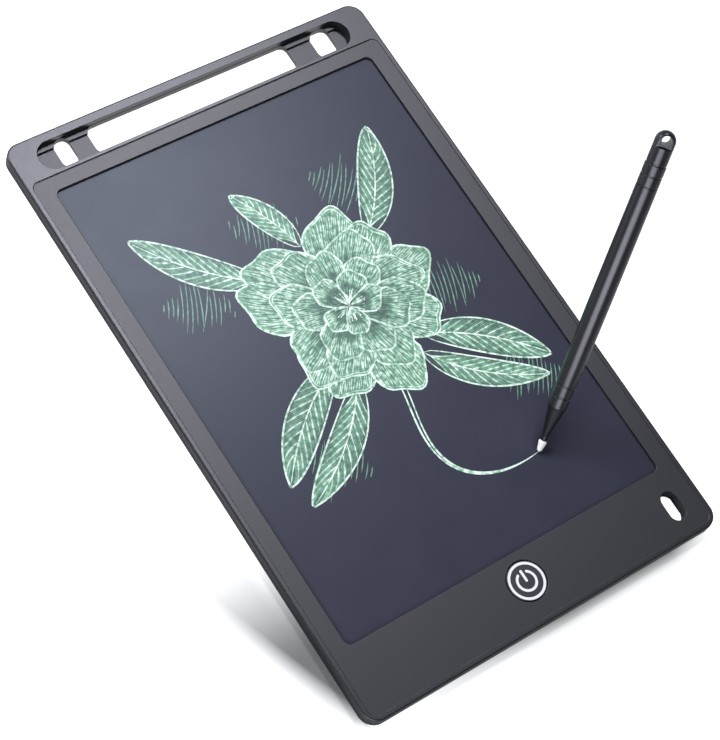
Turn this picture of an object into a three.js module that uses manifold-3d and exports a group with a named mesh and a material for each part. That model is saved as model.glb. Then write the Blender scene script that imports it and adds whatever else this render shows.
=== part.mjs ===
// An LCD writing tablet: a thin two-shell case with a pressure-sensitive writing film, a pen tray along
// the top edge, an erase button and a lanyard slot below the screen, and a stylus writing on the film.
// Lengths are millimetres. X runs across the tablet, Y towards the pen tray and Z up from the face it
// lies on. The origin is the middle of that face.

import * as THREE from 'three';
import { mergeVertices } from 'three/addons/utils/BufferGeometryUtils.js';
import Module from 'manifold-3d';

const wasm = await Module();
wasm.setup();

// Case
const bodyWidth = 145;
const bodyLength = 225;
const bodyCorner = 5.6;
const bodyEdge = 0.7;
const frameWall = 1.6;
const coverFloor = 1.0;
const partingHeight = 2.2;
const lipClearance = 0.2;
const lipThickness = 0.6;
const lipRise = 0.9;
const seamDepth = 0.3;
const seamHeight = 0.15;

// Front panel, sunk a little below the rim. The screen window fills what its borders leave of the
// case, between the panel's top edge and the erase button.
const rimWidth = 1.9;
const rimDrop = 0.3;
const panelCorner = 2.8;
const panelThickness = 0.8;
const windowSideBorder = 8.05;
const windowHeadBorder = 5.6;
const windowCorner = 2.4;

// Pen tray: an obround trough with a ledge along its far wall and three slots through its floor
const trayFromSide = 9.4;
const trayWidth = 11.1;
const trayFromTop = 3.4;
const trayFromPanel = 1.2;
const trayFloor = 0.5;
const trayWall = 0.8;
const trayLedgeWidth = 2.1;
const trayLedgeHeight = 1.0;
const slotFarMargin = 0.1;
const slotNearMargin = 0.4;
const slotCorner = 2.9;
const leftSlotInset = 8.0;
const leftSlotLength = 6.1;
const leftBarWidth = 7.0;
const rightSlotInset = 5.6;
const rightSlotLength = 7.9;
const rightBarWidth = 9.7;

// Lanyard slot through the chin
const lanyardWidth = 6.1;
const lanyardLength = 10.8;
const lanyardFromSide = 8.5;
const lanyardFromBottom = 6.7;
const lanyardWall = 1.0;

// Snap hooks on the frame and their pockets in the cover
const hookWidth = 6;
const hookThickness = 0.9;
const hookLipGap = 0.2;
const hookNubReach = 0.5;
const hookNubHeight = 0.6;
const hookFloorGap = 0.5;
const hookPocketGap = 0.25;
const hookFromEnd = 42.5;
const chinHookOffset = 52;

// Screen stack under the panel
const tapeThickness = 0.2;
const tapeSetback = 0.3;
const filmMargin = 1.8;
const filmButtonGap = 0.5;
const filmThickness = 0.4;
const filmCorner = 1.0;
const backingThickness = 0.2;
const backingSetback = 1.2;
const supportThickness = 0.8;
const supportMargin = 1.5;
const supportCellGap = 0.6;
const locatorGap = 0.3;
const locatorWidth = 0.8;
const locatorDepth = 1.0;

// Ribs of the back cover that carry the screen stack
const ribThickness = 0.9;
const longRibPitch = 30;
const longRibPairs = 2;
const crossRibPairs = 2;
const crossRibEndInset = 3;
const crossRibDrop = 0.3;
const ribBridgeGap = 5.05;
const ribHeadReach = 0.8;
const ribSideSetback = 2.45;

// Erase button
const buttonRadius = 6.9;
const buttonGap = 0.25;
const buttonFromBottom = 15;
const buttonChamfer = 0.2;
const buttonFlangeReach = 0.75;
const buttonFlangeThickness = 0.4;
const buttonStemRadius = 1.5;
const buttonStemLength = 0.15;
const buttonTravel = 0.25;

// Push switch under the button
const pushSwitchSize = 4.5;
const pushSwitchHeight = 0.8;
const plungerRadius = 1.2;
const plungerStand = 0.3;
const plungerSunk = 0.2;
const plungerGap = 0.12;
const plungerSpare = 0.08;

// Circuit board, its seats and its screws. It reaches left of the button and right past the lock switch.
const boardLeftReach = 21;
const boardRightMargin = 2;
const boardLength = 18;
const boardThickness = 0.6;
const boardStand = 0.65;
const boardFromBottom = 4.6;
const boardCorner = 1.0;
const bossRadius = 2.2;
const bossInset = 3.2;
const boardScrewHeadRadius = 1.4;
const boardScrewHeadHeight = 0.6;
const boardScrewRadius = 0.75;
const boardScrewGap = 0.12;
const boardScrewFloorLeft = 0.35;
const boardScrewEndGap = 0.1;
const driveWidth = 0.35;
const driveReachShare = 0.68;
const driveDepthShare = 0.5;

// Parts on the board, placed across from the button's axis and up from the board's lower edge
const chipLength = 4.9;
const chipWidth = 3.9;
const chipHeight = 1.2;
const chipLegLength = 1.0;
const chipLegWidth = 0.4;
const chipLegThickness = 0.2;
const chipLegPitch = 1.27;
const chipLegsPerSide = 4;
const chipFromButton = 9.5;
const chipFromBottom = 4.6;
const coilRadius = 2.0;
const coilHeight = 1.3;
const coilWaistRadius = 1.5;
const coilFlangeHeight = 0.3;
const coilFlangeGap = 0.6;
const coilFromBottom = 13.6;
const capacitorLength = 3.2;
const capacitorWidth = 1.6;
const capacitorHeight = 1.1;
const capacitorFromButton = 8.5;
const capacitorFromBottom = 4.2;
const connectorLength = 10;
const connectorWidth = 3;
const connectorHeight = 0.7;
const connectorFromButton = 10;
const connectorFromTop = 1.8;

// Flat tail from the film to the board
const tailWidth = 8;
const tailThickness = 0.15;
const tailLandLength = 0.9;
const tailDrop = 1.2;
const tailSlack = 0.3;

// Coin cell of the 20 x 1.6 size, its door and its contacts
const cellRadius = 10;
const cellThickness = 1.6;
const cellCapRadius = 8.7;
const cellCapStep = 0.3;
const cellEdge = 0.25;
const cellBoardGap = 4;
const doorFromBottom = 5.2;
const doorSideMargin = 2.5;
const doorLowMargin = 0.7;
const doorScrewLand = 6.1;
const doorCorner = 2;
const doorGap = 0.25;
const doorTongueWidth = 4;
const doorTongueReach = 1.8;
const doorTongueRoot = 1.6;
const doorTongueThickness = 0.5;
const doorTongueLift = 0.15;
const doorTongueSpacing = 16;
const doorGripLength = 9;
const doorGripWidth = 0.8;
const doorGripDepth = 0.35;
const doorGripPitch = 1.8;
const doorGripLines = 3;
const cradleGap = 0.25;
const cradleWall = 0.75;
const cradleHeight = 1.1;
const cradleReachShare = 0.9;
const cradleStartShare = 0.4;
const bridgeLength = 7;
const bridgeSupportGap = 0.1;
const bridgeSideLand = 2.2;
const bridgeEndLand = 1.2;
const doorScrewFromEnd = 2.9;
const doorScrewHeadRadius = 1.35;
const doorScrewHeadHeight = 0.6;
const doorScrewRadius = 0.7;
const doorScrewGap = 0.12;
const doorScrewSink = 0.1;
const doorScrewEndGap = 0.2;
const leafWidth = 4;
const leafThickness = 0.2;
const leafFoot = 3.2;
const leafRise = 1.6;
const leafReach = 2;
const sideLeafWidth = 2.6;
const sideLeafFoot = 3;
const sideLeafGap = 0.3;
const sideLeafFloorGap = 0.3;
const sideLeafOffset = 4;

// Lock switch, worked from the back
const knobLength = 4.6;
const knobWidth = 2.8;
const knobSunk = 0.25;
const knobGap = 0.2;
const knobTravel = 2;
const knobRidges = 3;
const knobRidgePitch = 1.2;
const knobRidgeWidth = 0.4;
const knobRidgeDepth = 0.2;
const knobFlangeReach = 0.4;
const knobFlangeWidth = 4.6;
const knobFlangeThickness = 0.3;
const knobFlangeLift = 0.05;
const knobStubSize = 1.2;
const knobStubHeight = 0.6;
const lockFromButton = 19;
const lockFromBottom = 3.9;
const lockBodyLength = 8.4;
const lockBodyWidth = 3.6;
const lockBodyAbove = 0.6;
const lockBodyGap = 0.15;
const lockBodyLift = 0.1;
const lockEarReach = 0.8;
const lockEarThickness = 0.2;
const lockRecessGap = 0.2;

// Stylus, measured along its own axis from the point
const stylusLength = 116;
const stylusLean = 39.3;
const stylusBearing = 44.2;
const stylusFromWindowSide = 33.55;
const stylusFromWindowLow = 25.1;
const stylusGap = 0.12;
const stylusRadius = 3.68;
const stylusBellyShare = 0.5;
const barrelFrontRadius = 3.4;
const barrelRearRadius = 3.62;
const barrelBore = 2.5;
const nibLength = 4.2;
const nibPointRadius = 0.95;
const nibShoulderRadius = 1.45;
const nibStemRadius = 0.55;
const nibStemLength = 4;
const nibStemGap = 0.12;
const nibStemEndGap = 0.2;
const neckRadius = 1.05;
const neckLength = 1.6;
const coneLength = 11;
const coneEndRadius = 3.05;
const ringLength = 4.1;
const ringRadius = 3.3;
const grooveWidth = 0.6;
const grooveDepth = 0.35;
const frontRings = 2;
const rearRings = 2;
const rearRingLength = 3.8;
const spigotLength = 6;
const spigotGap = 0.15;
const capLength = 11.4;
const capRadius = 3.55;
const capFlatHalf = 2.2;
const capFlatLength = 5.4;
const capHoleWidth = 3.4;
const capHoleLength = 4.2;
const capHoleFromEnd = 1.4;

// Faceting, and how far a cutter runs past what it cuts
const cornerSteps = 6;
const smallSteps = 16;
const roundSteps = 28;
const bevelSteps = 2;
const domeSteps = 5;
const overrun = 1;

// Heights, worked up from the cover's floor by what stands under the erase button. They add up to a
// case 5 mm thick.
const boardUnder = coverFloor + boardStand;
const boardTop = boardUnder + boardThickness;
const pushSwitchTop = boardTop + pushSwitchHeight;
const plungerTop = pushSwitchTop + plungerStand;
const flangeUnder = plungerTop + buttonStemLength;
const panelUnder = flangeUnder + buttonFlangeThickness;
const panelTop = panelUnder + panelThickness;
const bodyThickness = panelTop + rimDrop;

// Heights of the screen stack, worked down from the panel
const filmTop = panelUnder - tapeThickness;
const filmUnder = filmTop - filmThickness;
const backingUnder = filmUnder - backingThickness;
const supportUnder = backingUnder - supportThickness;
const bridgeTop = supportUnder - bridgeSupportGap;
const trayFloorTop = coverFloor + trayFloor;

// Places of the shells, the button, the window and the tray. The button's axis is at X = 0.
const halfWidth = bodyWidth / 2;
const halfLength = bodyLength / 2;
const lipOuter = frameWall + lipClearance;
const lipInner = lipOuter + lipThickness;
const buttonY = buttonFromBottom - halfLength;
const buttonHoleRadius = buttonRadius + buttonGap;
const flangeRadius = buttonHoleRadius + buttonFlangeReach;
const filmLow = buttonY + flangeRadius + filmButtonGap;
const windowLow = filmLow + filmMargin;
const windowHalf = halfWidth - windowSideBorder;
const trayHalf = halfWidth - trayFromSide;
const trayHigh = halfLength - trayFromTop;
const trayLow = trayHigh - trayWidth;
const panelHigh = trayLow - trayFromPanel;
const windowHigh = panelHigh - windowHeadBorder;
const lanyardX = halfWidth - lanyardFromSide - lanyardWidth / 2;
const lanyardY = lanyardFromBottom + lanyardLength / 2 - halfLength;

// Places of the board, the lock switch and the coin cell with its door
const boardLeft = -boardLeftReach;
const boardRight = lockFromButton + lockBodyLength / 2 + lockEarReach + boardRightMargin;
const boardLow = boardFromBottom - halfLength;
const boardHigh = boardLow + boardLength;
const lockY = boardLow + lockFromBottom;
const cellX = boardLeft - cellBoardGap - cellRadius;
const doorLow = doorFromBottom - halfLength;
const cellY = doorLow + doorLowMargin + cellRadius;
const doorHalf = cellRadius + doorSideMargin;
const doorHigh = cellY + cellRadius + doorScrewLand;
const doorScrewY = doorHigh - doorScrewFromEnd;
const bridgeHigh = doorHigh + doorGap + bridgeEndLand;

// Finishes
function finish(color, roughness, metalness = 0) {
  return new THREE.MeshStandardMaterial({ color, roughness, metalness });
}
const caseBlack = finish(0x3b3b3f, 0.55);
const filmDark = finish(0x363c4d, 0.3);
const sheetBlack = finish(0x141416, 0.7);
const tapeGrey = finish(0x8c8c88, 0.8);
const supportWhite = finish(0xd8d8d4, 0.6);
const boardGreen = finish(0x2f6b45, 0.5);
const partBlack = finish(0x1c1c1e, 0.5);
const ceramicTan = finish(0xa98f66, 0.5);
const steel = finish(0xc4c6c8, 0.35, 1);
const plungerWhite = finish(0xe8e6dc, 0.5);
const tailAmber = finish(0xb47a2c, 0.4);
const penBlack = finish(0x2b2b30, 0.45);
const nibWhite = finish(0xf2f2ee, 0.4);

// Turns a closed three.js geometry into a solid, with its faces outwards
function solidOf(geometry) {
  const bare = geometry.clone();
  bare.deleteAttribute('normal');
  bare.deleteAttribute('uv');
  const welded = mergeVertices(bare);
  const place = welded.attributes.position.array;
  const corners = [];
  let sixVolumes = 0;
  for (let i = 0; i < welded.index.count; i += 3) {
    const [a, b, c] = welded.index.array.slice(i, i + 3);
    if (a === b || b === c || c === a) continue;
    corners.push(a, b, c);
    const [p, q, r] = [a, b, c].map((n) => new THREE.Vector3().fromArray(place, n * 3));
    sixVolumes += p.dot(q.cross(r));
  }
  if (sixVolumes < 0) corners.reverse();
  const vertProperties = new Float32Array(place);
  const triVerts = new Uint32Array(corners);
  return new wasm.Manifold(new wasm.Mesh({ numProp: 3, vertProperties, triVerts }));
}

function geometryOf(solid) {
  const { vertProperties, triVerts } = solid.getMesh();
  const geometry = new THREE.BufferGeometry();
  geometry.setAttribute('position', new THREE.BufferAttribute(vertProperties, 3));
  geometry.setIndex(new THREE.BufferAttribute(triVerts, 1));
  geometry.computeVertexNormals();
  return geometry;
}

function joined(...solids) {
  return solids.reduce((whole, next) => whole.add(next));
}

function cutBy(solid, ...cutters) {
  return cutters.reduce((left, cutter) => left.subtract(cutter), solid);
}

// Outlines in the XY plane
function roundedRectangle(x0, x1, y0, y1, radius) {
  const outline = new THREE.Shape();
  const quarter = Math.PI / 2;
  outline.absarc(x1 - radius, y0 + radius, radius, -quarter, 0);
  outline.absarc(x1 - radius, y1 - radius, radius, 0, quarter);
  outline.absarc(x0 + radius, y1 - radius, radius, quarter, 2 * quarter);
  outline.absarc(x0 + radius, y0 + radius, radius, 2 * quarter, 3 * quarter);
  return outline;
}

function obroundAlongX(x0, x1, y0, y1) {
  const outline = new THREE.Shape();
  const radius = (y1 - y0) / 2;
  const middle = (y0 + y1) / 2;
  outline.absarc(x1 - radius, middle, radius, -Math.PI / 2, Math.PI / 2);
  outline.absarc(x0 + radius, middle, radius, Math.PI / 2, 1.5 * Math.PI);
  return outline;
}

function obroundAlongY(x, y, width, length) {
  const outline = new THREE.Shape();
  const radius = width / 2;
  const reach = length / 2 - radius;
  outline.absarc(x, y + reach, radius, 0, Math.PI);
  outline.absarc(x, y - reach, radius, Math.PI, 2 * Math.PI);
  return outline;
}

// Solids between two heights
function plate(outline, low, high) {
  const geometry = new THREE.ExtrudeGeometry(outline, {
    depth: high - low,
    bevelEnabled: false,
    curveSegments: cornerSteps,
  });
  return solidOf(geometry.translate(0, 0, low));
}

function block(x0, x1, y0, y1, low, high) {
  const geometry = new THREE.BoxGeometry(x1 - x0, y1 - y0, high - low);
  return solidOf(geometry.translate((x0 + x1) / 2, (y0 + y1) / 2, (low + high) / 2));
}

function disc(x, y, radius, low, high, steps = smallSteps) {
  const geometry = new THREE.CylinderGeometry(radius, radius, high - low, steps);
  return solidOf(geometry.rotateX(Math.PI / 2).translate(x, y, (low + high) / 2));
}

// A profile of [radius, height] points turned about the Z axis
function turned(profile, steps = roundSteps) {
  const points = profile.map(([radius, height]) => new THREE.Vector2(radius, height));
  return solidOf(new THREE.LatheGeometry(points, steps).rotateX(Math.PI / 2));
}

// A strip of sheet metal or film, from the [along, height] points of its middle line. It runs along X,
// or along Y after a quarter turn.
function strip(middleLine, thickness, width, turn = 0) {
  const half = thickness / 2;
  const above = middleLine.map(([along, height]) => new THREE.Vector2(along, height + half));
  const below = middleLine.map(([along, height]) => new THREE.Vector2(along, height - half));
  const outline = new THREE.Shape([...above, ...below.reverse()]);
  const geometry = new THREE.ExtrudeGeometry(outline, { depth: width, bevelEnabled: false });
  return solidOf(geometry.translate(0, 0, -width / 2).rotateX(Math.PI / 2).rotateZ(turn));
}

// The case's outline drawn in by a distance
function insetOutline(inset) {
  const radius = Math.max(bodyCorner - inset, bodyEdge);
  const x = halfWidth - inset;
  const y = halfLength - inset;
  return roundedRectangle(-x, x, -y, y, radius);
}

// The whole case before it is split, with rounded edges above and below
function caseBlock() {
  const geometry = new THREE.ExtrudeGeometry(insetOutline(bodyEdge), {
    depth: bodyThickness - 2 * bodyEdge,
    bevelThickness: bodyEdge,
    bevelSize: bodyEdge,
    bevelSegments: bevelSteps,
    curveSegments: cornerSteps,
  });
  return solidOf(geometry.translate(0, 0, bodyEdge));
}

function slab(low, high) {
  const reachX = halfWidth + overrun;
  const reachY = halfLength + overrun;
  return block(-reachX, reachX, -reachY, reachY, low, high);
}

// The three slots that pass through the tray's floor and the cover under it
function traySlotSpans() {
  const leftStart = -trayHalf + leftSlotInset;
  const leftEnd = leftStart + leftSlotLength;
  const rightEnd = trayHalf - rightSlotInset;
  const rightStart = rightEnd - rightSlotLength;
  return [
    [leftStart, leftEnd],
    [leftEnd + leftBarWidth, rightStart - rightBarWidth],
    [rightStart, rightEnd],
  ];
}

function traySlots(high) {
  const y0 = trayLow + slotNearMargin;
  const y1 = trayHigh - slotFarMargin;
  return traySlotSpans().map(([x0, x1]) =>
    plate(roundedRectangle(x0, x1, y0, y1, slotCorner), -overrun, high));
}

function lanyardHole() {
  const outline = obroundAlongY(lanyardX, lanyardY, lanyardWidth, lanyardLength);
  return plate(outline, -overrun, bodyThickness + overrun);
}

// Snap hooks: place along the edge, and the turn that faces the hook outwards
function hookPlaces() {
  const endY = halfLength - hookFromEnd;
  const sides = [-endY, 0, endY].flatMap((y) => [
    { x: halfWidth, y, turn: 0 },
    { x: -halfWidth, y, turn: Math.PI },
  ]);
  const chin = [-chinHookOffset, chinHookOffset].map((x) => {
    return { x, y: -halfLength, turn: -Math.PI / 2 };
  });
  return [...sides, ...chin];
}

function placedHook(solidAtOrigin, { x, y, turn }) {
  return solidAtOrigin.rotate([0, 0, THREE.MathUtils.radToDeg(turn)]).translate([x, y, 0]);
}

// At the origin a hook faces +X, with the case's outer face at X = 0
function hookShape() {
  const half = hookWidth / 2;
  const outerFace = -(lipInner + hookLipGap);
  const innerFace = outerFace - hookThickness;
  const nubTip = outerFace + hookLipGap + hookNubReach;
  const low = coverFloor + hookFloorGap;
  return joined(
    block(innerFace, outerFace, -half, half, low, panelUnder + panelThickness / 2),
    block(innerFace, nubTip, -half, half, low, low + hookNubHeight));
}

function hookPocket() {
  const half = hookWidth / 2 + hookPocketGap;
  const outer = -(lipInner - hookNubReach - hookPocketGap);
  const low = coverFloor + hookFloorGap - hookPocketGap;
  const high = coverFloor + hookFloorGap + hookNubHeight + hookPocketGap;
  return block(-(lipInner + overrun), outer, -half, half, low, high);
}

function frontFrame() {
  const shell = caseBlock().intersect(slab(partingHeight, bodyThickness + overrun));
  const cavity = plate(insetOutline(frameWall), 0, panelUnder);
  const insidePanel = panelUnder + panelThickness / 2;
  const trough = plate(
    roundedRectangle(
      -trayHalf - trayWall, trayHalf + trayWall, trayLow - trayWall, trayHigh + trayWall, trayWidth / 2),
    coverFloor, insidePanel);
  const eyelet = plate(
    obroundAlongY(lanyardX, lanyardY, lanyardWidth + 2 * lanyardWall, lanyardLength + 2 * lanyardWall),
    coverFloor, insidePanel);
  const hooks = hookPlaces().map((at) => placedHook(hookShape(), at));
  const whole = joined(cutBy(shell, cavity), trough, eyelet, ...hooks, ...filmLocators());

  const panel = plate(
    roundedRectangle(
      -halfWidth + rimWidth, halfWidth - rimWidth, -halfLength + rimWidth, panelHigh, panelCorner),
    panelTop, bodyThickness + overrun);
  const screenWindow = plate(
    roundedRectangle(-windowHalf, windowHalf, windowLow, windowHigh, windowCorner),
    0, bodyThickness + overrun);
  const trayOutline = obroundAlongX(-trayHalf, trayHalf, trayLow, trayHigh);
  const aboveLedge = plate(trayOutline, trayFloorTop + trayLedgeHeight, bodyThickness + overrun);
  const belowLedge = plate(trayOutline, trayFloorTop, bodyThickness).intersect(
    block(-halfWidth, halfWidth, -halfLength, trayHigh - trayLedgeWidth, 0, bodyThickness));
  const buttonHole = disc(0, buttonY, buttonHoleRadius, 0, bodyThickness + overrun, roundSteps);
  return cutBy(
    whole, panel, screenWindow, aboveLedge, belowLedge, buttonHole, lanyardHole(),
    ...traySlots(bodyThickness));
}

// Ribs under the panel that keep the film central
function filmLocators() {
  const inner = windowHalf + filmMargin + locatorGap;
  const outer = inner + locatorWidth;
  const low = panelUnder - locatorDepth;
  const high = panelUnder + panelThickness / 2;
  const top = windowHigh + filmMargin + locatorGap;
  const sideLow = windowLow + windowCorner;
  const sideHigh = windowHigh - windowCorner;
  return [
    block(-outer, -inner, sideLow, sideHigh, low, high),
    block(inner, outer, sideLow, sideHigh, low, high),
    block(-windowHalf, windowHalf, top, top + locatorWidth, low, high),
  ];
}

function backCover() {
  const shell = caseBlock().intersect(slab(-overrun, partingHeight));
  const lip = plate(insetOutline(lipOuter), coverFloor / 2, partingHeight + lipRise);
  const cavity = plate(insetOutline(lipInner), coverFloor, bodyThickness);
  const seam = cutBy(
    slab(partingHeight - seamHeight, partingHeight + overrun),
    plate(insetOutline(seamDepth), 0, bodyThickness));
  const shellAndLip = cutBy(joined(cutBy(shell, seam), lip), cavity);
  const bosses = boardScrewPlaces().map(([x, y]) => disc(x, y, bossRadius, coverFloor / 2, boardUnder));
  const whole = joined(shellAndLip, ...coverRibs(), doorBridge(), ...bosses);

  const pockets = hookPlaces().map((at) => placedHook(hookPocket(), at));
  const screwHoles = boardScrewPlaces().map(([x, y]) =>
    disc(x, y, boardScrewRadius + boardScrewGap, boardScrewFloorLeft, boardUnder + overrun));
  const doorScrewHole = disc(cellX, doorScrewY, doorScrewRadius + doorScrewGap, 0, bodyThickness);
  return cutBy(
    whole, ...pockets, ...screwHoles, doorOpening(), doorScrewHole, knobSlot(), lanyardHole(),
    ...traySlots(bodyThickness));
}

function coverRibs() {
  const low = coverFloor / 2;
  const half = ribThickness / 2;
  const y0 = bridgeHigh + ribBridgeGap;
  const y1 = windowHigh + ribHeadReach;
  const ribs = [];
  for (let i = -longRibPairs; i < longRibPairs; i += 1) {
    const x = (i + 0.5) * longRibPitch;
    ribs.push(block(x - half, x + half, y0, y1, low, supportUnder));
  }
  const crossReach = windowHalf - ribSideSetback;
  const crossPitch = ((y1 - y0) / 2 - crossRibEndInset) / crossRibPairs;
  for (let i = -crossRibPairs; i <= crossRibPairs; i += 1) {
    const y = (y0 + y1) / 2 + i * crossPitch;
    ribs.push(block(-crossReach, crossReach, y - half, y + half, low, supportUnder - crossRibDrop));
  }
  return ribs;
}

// Screen stack
function filmOutline() {
  const side = windowHalf + filmMargin;
  return roundedRectangle(-side, side, filmLow, windowHigh + filmMargin, filmCorner);
}

function filmTape() {
  const inner = roundedRectangle(
    -windowHalf - tapeSetback, windowHalf + tapeSetback,
    windowLow - tapeSetback, windowHigh + tapeSetback, windowCorner);
  return cutBy(plate(filmOutline(), filmTop, panelUnder), plate(inner, 0, bodyThickness));
}

function writingFilm() {
  return plate(filmOutline(), filmUnder, filmTop);
}

function backingSheet() {
  const trim = block(-halfWidth, halfWidth, -halfLength, filmLow + backingSetback, 0, bodyThickness);
  return cutBy(plate(filmOutline(), backingUnder, filmUnder), trim);
}

// The stiff board under the film stops short of the coin cell
function supportBoard() {
  const side = windowHalf + supportMargin;
  const low = cellY + cellRadius + supportCellGap;
  return plate(
    roundedRectangle(-side, side, low, windowHigh + supportMargin, filmCorner),
    supportUnder, backingUnder);
}

// Erase button, turned about its own axis with its height measured from the tablet's back
function eraseButton() {
  return turned([
    [0, plungerTop],
    [buttonStemRadius, plungerTop],
    [buttonStemRadius, flangeUnder],
    [flangeRadius, flangeUnder],
    [flangeRadius, panelUnder],
    [buttonRadius, panelUnder],
    [buttonRadius, panelTop - buttonChamfer],
    [buttonRadius - buttonChamfer, panelTop],
    [0, panelTop],
  ]);
}

function pushSwitchBody() {
  const half = pushSwitchSize / 2;
  const recess = plungerSunk + buttonTravel + plungerSpare;
  return cutBy(
    block(-half, half, -half, half, 0, pushSwitchHeight),
    disc(0, 0, plungerRadius + plungerGap, pushSwitchHeight - recess, pushSwitchHeight + overrun));
}

function pushSwitchPlunger() {
  return disc(0, 0, plungerRadius, 0, plungerSunk + plungerStand);
}

// Circuit board and what sits on it
function boardScrewPlaces() {
  return [
    [boardLeft + bossInset, boardLow + bossInset],
    [boardRight - bossInset, boardHigh - bossInset],
  ];
}

function mainBoard() {
  const outline = roundedRectangle(boardLeft, boardRight, boardLow, boardHigh, boardCorner);
  const screwHoles = boardScrewPlaces().map(([x, y]) =>
    disc(x, y, boardScrewRadius + boardScrewGap, 0, bodyThickness));
  const halfX = lockBodyLength / 2 + lockBodyGap;
  const halfY = lockBodyWidth / 2 + lockBodyGap;
  const lockOpening = block(
    lockFromButton - halfX, lockFromButton + halfX, lockY - halfY, lockY + halfY, 0, bodyThickness);
  return cutBy(plate(outline, boardUnder, boardTop), ...screwHoles, lockOpening);
}

// A cross-head screw with its head's underside at height zero and its shank downwards
function boardScrew() {
  const shank = boardUnder - boardScrewFloorLeft - boardScrewEndGap + boardThickness;
  const body = joined(
    disc(0, 0, boardScrewHeadRadius, 0, boardScrewHeadHeight),
    disc(0, 0, boardScrewRadius, -shank, boardScrewHeadHeight / 2));
  return cutBy(body, ...crossDrive(boardScrewHeadRadius, boardScrewHeadHeight, boardScrewHeadHeight));
}

function crossDrive(headRadius, headHeight, top) {
  const half = driveWidth / 2;
  const reach = headRadius * driveReachShare;
  const low = top - headHeight * driveDepthShare;
  return [
    block(-reach, reach, -half, half, low, top + overrun),
    block(-half, half, -reach, reach, low, top + overrun),
  ];
}

function driverChip() {
  const half = chipLength / 2;
  const bodySide = chipWidth / 2;
  const legs = [];
  for (let i = 0; i < chipLegsPerSide; i += 1) {
    const x = (i - (chipLegsPerSide - 1) / 2) * chipLegPitch;
    const legHalf = chipLegWidth / 2;
    const reach = bodySide + chipLegLength;
    legs.push(block(x - legHalf, x + legHalf, -reach, reach, 0, chipLegThickness));
  }
  return joined(block(-half, half, -bodySide, bodySide, 0, chipHeight), ...legs);
}

function boostCoil() {
  return turned([
    [0, 0],
    [coilRadius, 0],
    [coilRadius, coilFlangeHeight],
    [coilWaistRadius, coilFlangeHeight],
    [coilWaistRadius, coilHeight - coilFlangeHeight],
    [coilRadius, coilHeight - coilFlangeHeight],
    [coilRadius, coilHeight],
    [0, coilHeight],
  ], smallSteps);
}

function boxOnBoard(length, width, height) {
  return block(-length / 2, length / 2, -width / 2, width / 2, 0, height);
}

// Film tail, from the film's underside down onto the connector
function filmTail() {
  const half = tailThickness / 2;
  const land = filmUnder - half;
  const seat = boardTop + connectorHeight + half;
  const end = boardHigh - connectorFromTop - connectorWidth;
  return strip([
    [filmLow + tailLandLength, land],
    [filmLow - tailSlack, land],
    [filmLow - tailSlack - tailDrop, seat],
    [end, seat],
  ], tailThickness, tailWidth, Math.PI / 2);
}

// Coin cell, with its can downwards on the door
function coinCell() {
  return turned([
    [0, 0],
    [cellRadius - cellEdge, 0],
    [cellRadius, cellEdge],
    [cellRadius, cellThickness - cellCapStep],
    [cellCapRadius, cellThickness - cellCapStep],
    [cellCapRadius, cellThickness],
    [0, cellThickness],
  ]);
}

function doorOpening() {
  const half = doorHalf + doorGap;
  const outline = roundedRectangle(
    cellX - half, cellX + half, doorLow - doorGap, doorHigh + doorGap, doorCorner + doorGap);
  return plate(outline, -overrun, coverFloor);
}

// The cover's bridge over the door's screw end
function doorBridge() {
  const half = doorHalf + doorGap + bridgeSideLand;
  return block(cellX - half, cellX + half, bridgeHigh - bridgeLength, bridgeHigh, coverFloor / 2, bridgeTop);
}

// Two tongues that hook under the cover's floor
function doorTongues() {
  const side = doorTongueWidth / 2;
  const low = coverFloor + doorTongueLift;
  const high = low + doorTongueThickness;
  const root = doorLow + doorTongueRoot;
  return [-doorTongueSpacing / 2, doorTongueSpacing / 2].flatMap((offset) => {
    const x = cellX + offset;
    return [
      block(x - side, x + side, doorLow, root, coverFloor / 2, high),
      block(x - side, x + side, doorLow - doorTongueReach, root, low, high),
    ];
  });
}

// The part of a ring round the coin cell that stands on the door, on its side away from the board
function cellCradle() {
  const bore = cellRadius + cradleGap;
  const ring = cutBy(
    disc(cellX, cellY, bore + cradleWall, coverFloor / 2, coverFloor + cradleHeight, roundSteps),
    disc(cellX, cellY, bore, 0, bodyThickness, roundSteps));
  const reach = cellRadius * cradleReachShare;
  const near = cellX - cellRadius * cradleStartShare;
  return ring.intersect(block(cellX - doorHalf, near, cellY - reach, cellY + reach, 0, bodyThickness));
}

function batteryDoor() {
  const leaf = plate(
    roundedRectangle(cellX - doorHalf, cellX + doorHalf, doorLow, doorHigh, doorCorner), 0, coverFloor);
  const grips = [];
  for (let i = 0; i < doorGripLines; i += 1) {
    const y = doorLow + doorTongueRoot + (i + 1) * doorGripPitch;
    const side = doorGripLength / 2;
    const half = doorGripWidth / 2;
    grips.push(block(cellX - side, cellX + side, y - half, y + half, -overrun, doorGripDepth));
  }
  return cutBy(joined(leaf, ...doorTongues(), cellCradle()), ...grips, doorScrewRoom());
}

// Countersink and clearance hole in the door
function doorScrewRoom() {
  const head = doorScrewHeadRadius + doorScrewGap;
  const shank = doorScrewRadius + doorScrewGap;
  const profile = [
    [0, -overrun],
    [head, -overrun],
    [head, doorScrewSink],
    [shank, doorScrewSink + doorScrewHeadHeight],
    [shank, coverFloor + overrun],
    [0, coverFloor + overrun],
  ];
  return turned(profile, smallSteps).translate([cellX, doorScrewY, 0]);
}

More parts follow.
